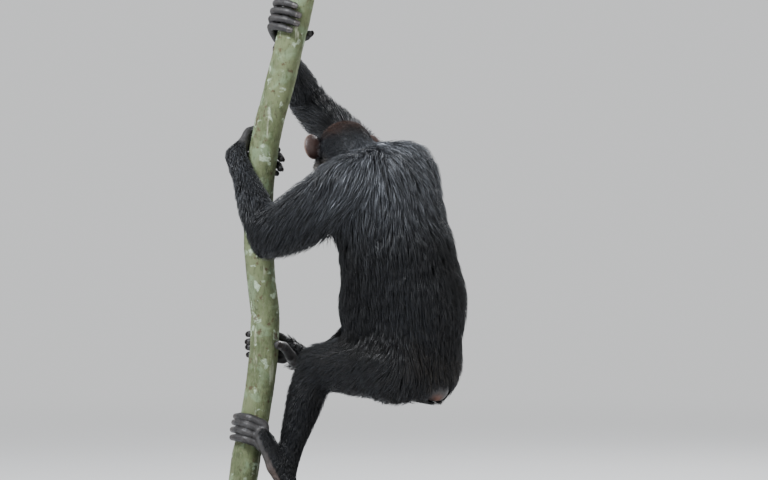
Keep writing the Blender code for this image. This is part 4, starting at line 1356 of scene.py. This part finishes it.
def bark_look():
    look = Look("bark_mottled", (0.16, 0.17, 0.10), 0.85)
    patches = look.between(look.noise(0.060, 5.0, 0.6, (1, 1, 0.55), 0.4), 0.40, 0.62)
    colour = look.blend((0.050, 0.070, 0.022), (0.110, 0.135, 0.062), patches)
    grain = look.between(look.noise(0.0045, 5.0, 0.7, (1, 1, 0.4)), 0.35, 0.65)
    colour = look.blend(colour, (0.140, 0.150, 0.085), look.sum("MULTIPLY", grain, 0.45))
    film = look.between(look.noise(0.048, 4.0, 0.6, warp=0.6), 0.50, 0.66)
    colour = look.blend(colour, (0.160, 0.225, 0.130), look.sum("MULTIPLY", film, 0.60))
    lichen = look.between(look.noise(0.030, 3.0, 0.55, warp=0.3), 0.585, 0.650)
    worn = look.between(look.noise(0.0035, 4.0, 0.7), 0.30, 0.55, 0.35, 1.0)
    lichen = look.sum("MULTIPLY", lichen, worn)
    pale = look.blend((0.250, 0.335, 0.230), (0.410, 0.490, 0.370), look.noise(0.008, 3.0))
    colour = look.blend(colour, pale, look.sum("MULTIPLY", lichen, 0.80))
    streaks = look.between(look.noise(0.026, 5.0, 0.6, (1, 1, 0.16)), 0.60, 0.68)
    colour = look.blend(colour, (0.420, 0.440, 0.330), look.sum("MULTIPLY", streaks, 0.50))
    brown = look.between(look.noise(0.019, 5.0, 0.65), 0.565, 0.66)
    colour = look.blend(colour, (0.052, 0.028, 0.012), look.sum("MULTIPLY", brown, 0.80))
    fissures = look.between(look.noise(0.0060, 5.0, 0.65, (1, 1, 0.30)), 0.34, 0.44)
    # painted shade: the bark darker down in its fissures
    colour = look.blend((0.024, 0.022, 0.010), colour, look.between(fissures, 0.0, 1.0, 0.70, 1.0))
    look.set(Base_Color=colour, Roughness=look.between(patches, 0, 1, 0.78, 0.92))
    look.raised(fissures, 0.0007).raised(look.noise(0.0024, 5.0), 0.0006).raised(lichen, 0.0005)
    return look.material


def cut_wood_look():
    look = Look("cut_wood", (0.50, 0.38, 0.24), 0.7)
    ring = look.add("ShaderNodeAttribute", attribute_name="ring").outputs["Fac"]
    wavy = look.sum("ADD", ring, look.sum("MULTIPLY", look.noise(0.02, 2.0), 0.0022))
    bands = look.sum("SINE", look.sum("MULTIPLY", wavy, 2 * math.pi / 0.0031), 0.0)
    share = look.between(bands, -0.8, 0.9)
    colour = look.blend((0.560, 0.430, 0.270), (0.400, 0.270, 0.150), share)
    rays = look.between(look.noise(0.004, 3.0), 0.5, 0.75, 0.0, 0.35)
    look.set(Base_Color=look.blend(colour, (0.300, 0.200, 0.110), rays))
    look.raised(share, 0.0002).raised(look.noise(0.0008, 3.0), 0.0002)
    return look.material


def board_look():
    look = Look("painted_board", (0.05, 0.05, 0.05), 0.55)
    cloud = look.between(look.noise(0.12, 4.0), 0.3, 0.7)
    look.set(Base_Color=look.blend((0.060, 0.061, 0.062), (0.082, 0.082, 0.083), cloud))
    look.set(Roughness=look.between(look.noise(0.015, 4.0), 0.3, 0.7, 0.46, 0.62))
    look.raised(look.noise(0.0016, 4.0), 0.00014)
    return look.material


def steel_look():
    look = Look("brushed_steel", (0.56, 0.56, 0.56), 0.32)
    brush = look.noise(0.0011, 3.0, stretch=(1, 1, 0.05))
    look.set(Base_Color=look.blend((0.50, 0.50, 0.50), (0.62, 0.62, 0.61), brush), Metallic=1.0)
    look.set(Roughness=look.between(brush, 0.3, 0.7, 0.24, 0.40))
    look.raised(brush, 0.00005)
    return look.material


def finished(piece, material):
    """Gives a piece its material and its place in the frame's one body."""
    piece.data.materials.clear()
    piece.data.materials.append(material)
    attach(piece, "root")
    return piece


# The eyes


def model_eye(side):
    """An eyeball with a clear bulge over its iris, looking along the head."""
    sign = 1 if side == "left" else -1
    centre = in_head(EYE * (1, sign, 1))
    gaze = HEAD_AXES @ unit((1.0, 0.10 * sign, -0.10))
    turned = axes(gaze, (0, 0, 1), keep_up=False)
    rows, spokes = 56, 56
    iris_edge = 0.56
    points, angles = [centre + gaze * (EYEBALL_RADIUS + 0.0009)], [0.0]
    for i in range(1, rows):
        angle = math.pi * (i / rows) ** 1.25
        bulge = 0.0009 * (1 - min(angle / (iris_edge + 0.06), 1) ** 2) ** 1.2
        for j in range(spokes):
            turn = 2 * math.pi * j / spokes
            local = (math.cos(angle), math.sin(angle) * math.cos(turn), math.sin(angle) * math.sin(turn))
            points.append(centre + turned @ np.array(local) * (EYEBALL_RADIUS + bulge))
            angles.append(angle)
    points.append(centre - gaze * EYEBALL_RADIUS)
    angles.append(math.pi)
    faces, last = [], len(points) - 1
    for j in range(spokes):
        k = (j + 1) % spokes
        faces.append((0, 1 + j, 1 + k))
        for i in range(rows - 2):
            a, b = 1 + i * spokes + j, 1 + i * spokes + k
            faces += [(a, a + spokes, b + spokes), (a, b + spokes, b)]
        faces.append((last - spokes + j, last, last - spokes + k))
    ball = solid("eyeball_" + side, points, faces)
    layer = ball.data.attributes.new("gaze_angle", "FLOAT", "POINT")
    layer.data.foreach_set("value", np.array(angles, np.float32))
    return ball


# The perch

BARK_AROUND = 112
BARK_STEP = 0.0034


def trunk_ring(height):
    """The trunk's centre at a height and the level directions out from it."""
    i = int(np.clip(np.searchsorted(TRUNK_LINE[:, 2], height), 1, len(TRUNK_LINE) - 1))
    a, b = TRUNK_LINE[i - 1], TRUNK_LINE[i]
    before = unit(b - TRUNK_LINE[max(i - 2, 0)])
    after = unit(TRUNK_LINE[min(i + 1, len(TRUNK_LINE) - 1)] - a)
    t = (height - a[2]) / (b[2] - a[2])
    axis = unit(lerp(before, after, t))
    centre = lerp(a, b, t)
    across = np.array((1.0, 0, 0))
    across = unit(across - across @ axis * axis)
    turns = np.arange(BARK_AROUND) * 2 * math.pi / BARK_AROUND
    outs = across * np.cos(turns)[:, None] + np.cross(axis, across) * np.sin(turns)[:, None]
    return centre, outs - axis * (outs[:, 2:] / axis[2])


def bark_relief(points):
    """How far the bark lies under the trunk's full radius at each place."""
    broad = 0.5 + 0.5 * noise(points, 0.060, 11)[:, 0]
    rough = 0.5 + 0.5 * noise(points * (1, 1, 0.45), 0.011, 12)[:, 1]
    fine = 0.5 + 0.5 * noise(points, 0.0050, 13)[:, 2]
    rings = np.exp(-((np.mod(points[:, 2] + 0.004 * noise(points, 0.03, 14)[:, 0], 0.083) - 0.04) / 0.003) ** 2)
    return 0.0002 + 0.0013 * broad + 0.0009 * rough**2 + 0.0005 * fine + 0.0007 * rings


def model_bark():
    low, high = TRUNK_LINE[0][2], TRUNK_LINE[-1][2]
    count = int((high - low) / BARK_STEP)
    points, faces = [], []
    for height in np.linspace(low, high, count + 1):
        centre, outs = trunk_ring(height)
        full = centre + outs * TRUNK_RADIUS
        edge = 0.0016 * max(0.0, 1 - min(height - low, high - height) / 0.003)
        points.append(full - outs * (bark_relief(full) + edge)[:, None])
    for i in range(count):
        for j in range(BARK_AROUND):
            k = (j + 1) % BARK_AROUND
            a, b = i * BARK_AROUND + j, i * BARK_AROUND + k
            faces += [(a, b, b + BARK_AROUND), (a, b + BARK_AROUND, a + BARK_AROUND)]
    side_faces = len(faces)
    points = list(np.concatenate(points))
    radii = [0.0] * len(points)
    for level, first in ((low, 0), (high, count * BARK_AROUND)):
        centre = np.array(points[first : first + BARK_AROUND]).mean(0)
        outer = list(range(first, first + BARK_AROUND))
        up = level == high
        for n in outer:
            radii[n] = float(np.linalg.norm(np.array(points[n]) - centre))
        for share in (0.75, 0.5, 0.25):
            inner = list(range(len(points), len(points) + BARK_AROUND))
            rim = np.array(points[first : first + BARK_AROUND])
            points += list(centre + (rim - centre) * share)
            radii += [radii[first + n] * share for n in range(BARK_AROUND)]
            for j in range(BARK_AROUND):
                k = (j + 1) % BARK_AROUND
                quad = (outer[j], outer[k], inner[k], inner[j])
                quad = quad if up else quad[::-1]
                faces += [quad[:3], (quad[0], quad[2], quad[3])]
            outer = inner
        points.append(centre)
        radii.append(0.0)
        for j in range(BARK_AROUND):
            k = (j + 1) % BARK_AROUND
            faces.append((outer[j], outer[k], len(points) - 1) if up else (outer[k], outer[j], len(points) - 1))
    bark = solid("bark", points, faces)
    layer = bark.data.attributes.new("ring", "FLOAT", "POINT")
    layer.data.foreach_set("value", np.array(radii, np.float32))
    return bark, side_faces


def dress_bark():
    bark, side_faces = model_bark()
    finished(bark, bark_look())
    bark.data.materials.append(cut_wood_look())
    slots = np.zeros(len(bark.data.polygons), np.int32)
    slots[side_faces:] = 1
    bark.data.polygons.foreach_set("material_index", slots)
    sharp = np.zeros(len(bark.data.polygons), bool)
    sharp[side_faces:] = True
    bark.data.polygons.foreach_set("use_smooth", ~sharp)
    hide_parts("perch_trunk")
    return bark


# The stage

BACKDROP = (0.80, 0.81, 0.82)
FLOOR_RADIUS = 45.0


def model_floor():
    """A wide pale floor that fades to the backdrop's own tone far away."""
    rings, spokes = (0.0, 1.0, 3.0, 6.0, 12.0, FLOOR_RADIUS), 64
    mesh = bpy.data.meshes.new("floor")
    form = bmesh.new()
    bmesh.ops.create_circle(form, cap_ends=True, segments=spokes, radius=rings[-1])
    form.to_mesh(mesh)
    form.free()
    floor = bpy.data.objects.new("floor", mesh)
    bpy.context.scene.collection.objects.link(floor)
    floor.location.z = -0.0002
    look = Look("studio_floor", (0.70, 0.70, 0.70), 0.75)
    cloud = look.noise(0.8, 3.0)
    look.set(Base_Color=look.blend((0.66, 0.665, 0.67), (0.70, 0.705, 0.71), cloud))
    split = look.add("ShaderNodeVectorMath", operation="LENGTH")
    look.put(split.inputs[0], look.place)
    far = look.between(split.outputs["Value"], 1.6, 7.5)
    glow = look.add("ShaderNodeEmission")
    look.put(glow.inputs["Color"], BACKDROP)
    both = look.add("ShaderNodeMixShader")
    look.put(both.inputs[0], far)
    look.put(both.inputs[1], look.shader.outputs["BSDF"])
    look.put(both.inputs[2], glow.outputs["Emission"])
    look.put(look.tree.nodes["Material Output"].inputs["Surface"], both.outputs["Shader"])
    mesh.materials.append(look.material)


def model_world():
    world = bpy.data.worlds.new("studio")
    world.use_nodes = True
    bpy.context.scene.world = world
    back = world.node_tree.nodes["Background"]
    back.inputs["Color"].default_value = (*BACKDROP, 1)
    back.inputs["Strength"].default_value = 1.0


def model_light(name, place, target, size, power, colour):
    light = bpy.data.lights.new(name, "AREA")
    light.shape = "DISK"
    light.size = size
    light.energy = power
    light.color = colour
    obj = bpy.data.objects.new(name, light)
    bpy.context.scene.collection.objects.link(obj)
    obj.location = place
    aim = Vector(target) - Vector(place)
    obj.rotation_euler = aim.to_track_quat("-Z", "Y").to_euler()


def model_camera():
    """The photograph's view: level, from 7.5 m behind the animal."""
    camera = bpy.data.cameras.new("camera")
    camera.lens = 150
    camera.sensor_width = 36
    camera.clip_end = 200
    obj = bpy.data.objects.new("camera", camera)
    bpy.context.scene.collection.objects.link(obj)
    obj.location = (0.0799, -7.52, 0.7175)
    obj.rotation_euler = (math.radians(90), 0, 0)
    bpy.context.scene.camera = obj


# The making

fields = {"body": model_body(), "head": model_head()}
for _side in SIDES:
    fields["hand_" + _side] = model_hand(_side)
    fields["foot_" + _side] = model_foot(_side)
skin = model_skin(fields)
paint(skin, skin_tone(vertices_of(skin)))
finished(skin, skin_look())
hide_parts(*FLESH)

eye_material, nail_material, coat_material = eye_look(), nail_look(), coat_look()
for _side in SIDES:
    ball = finished(model_eye(_side), eye_material)
    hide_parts("eye_" + _side)
    for _end in ("hand", "foot"):
        finished(model_nails(_side, _end), nail_material)

outer = world_field(fields)
model_coat(skin, outer, coat_material)
model_face_hair(skin, outer, coat_material)
dress_bark()

board, steel = board_look(), steel_look()
for name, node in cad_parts.items():
    if name.startswith("stand_"):
        node.data.materials.clear()
        node.data.materials.append(board if name == "stand_base" else steel)

model_floor()
model_world()
MIDDLE = (0.0, 0.0, 0.75)
model_light("key", (-1.7, -2.0, 3.3), MIDDLE, 1.2, 270, (0.93, 0.96, 1.0))
model_light("fill", (3.0, -2.6, 1.5), MIDDLE, 2.2, 45, (1.0, 0.98, 0.95))
model_light("rim", (2.0, 2.5, 3.0), MIDDLE, 0.7, 90, (0.97, 0.98, 1.0))
model_camera()
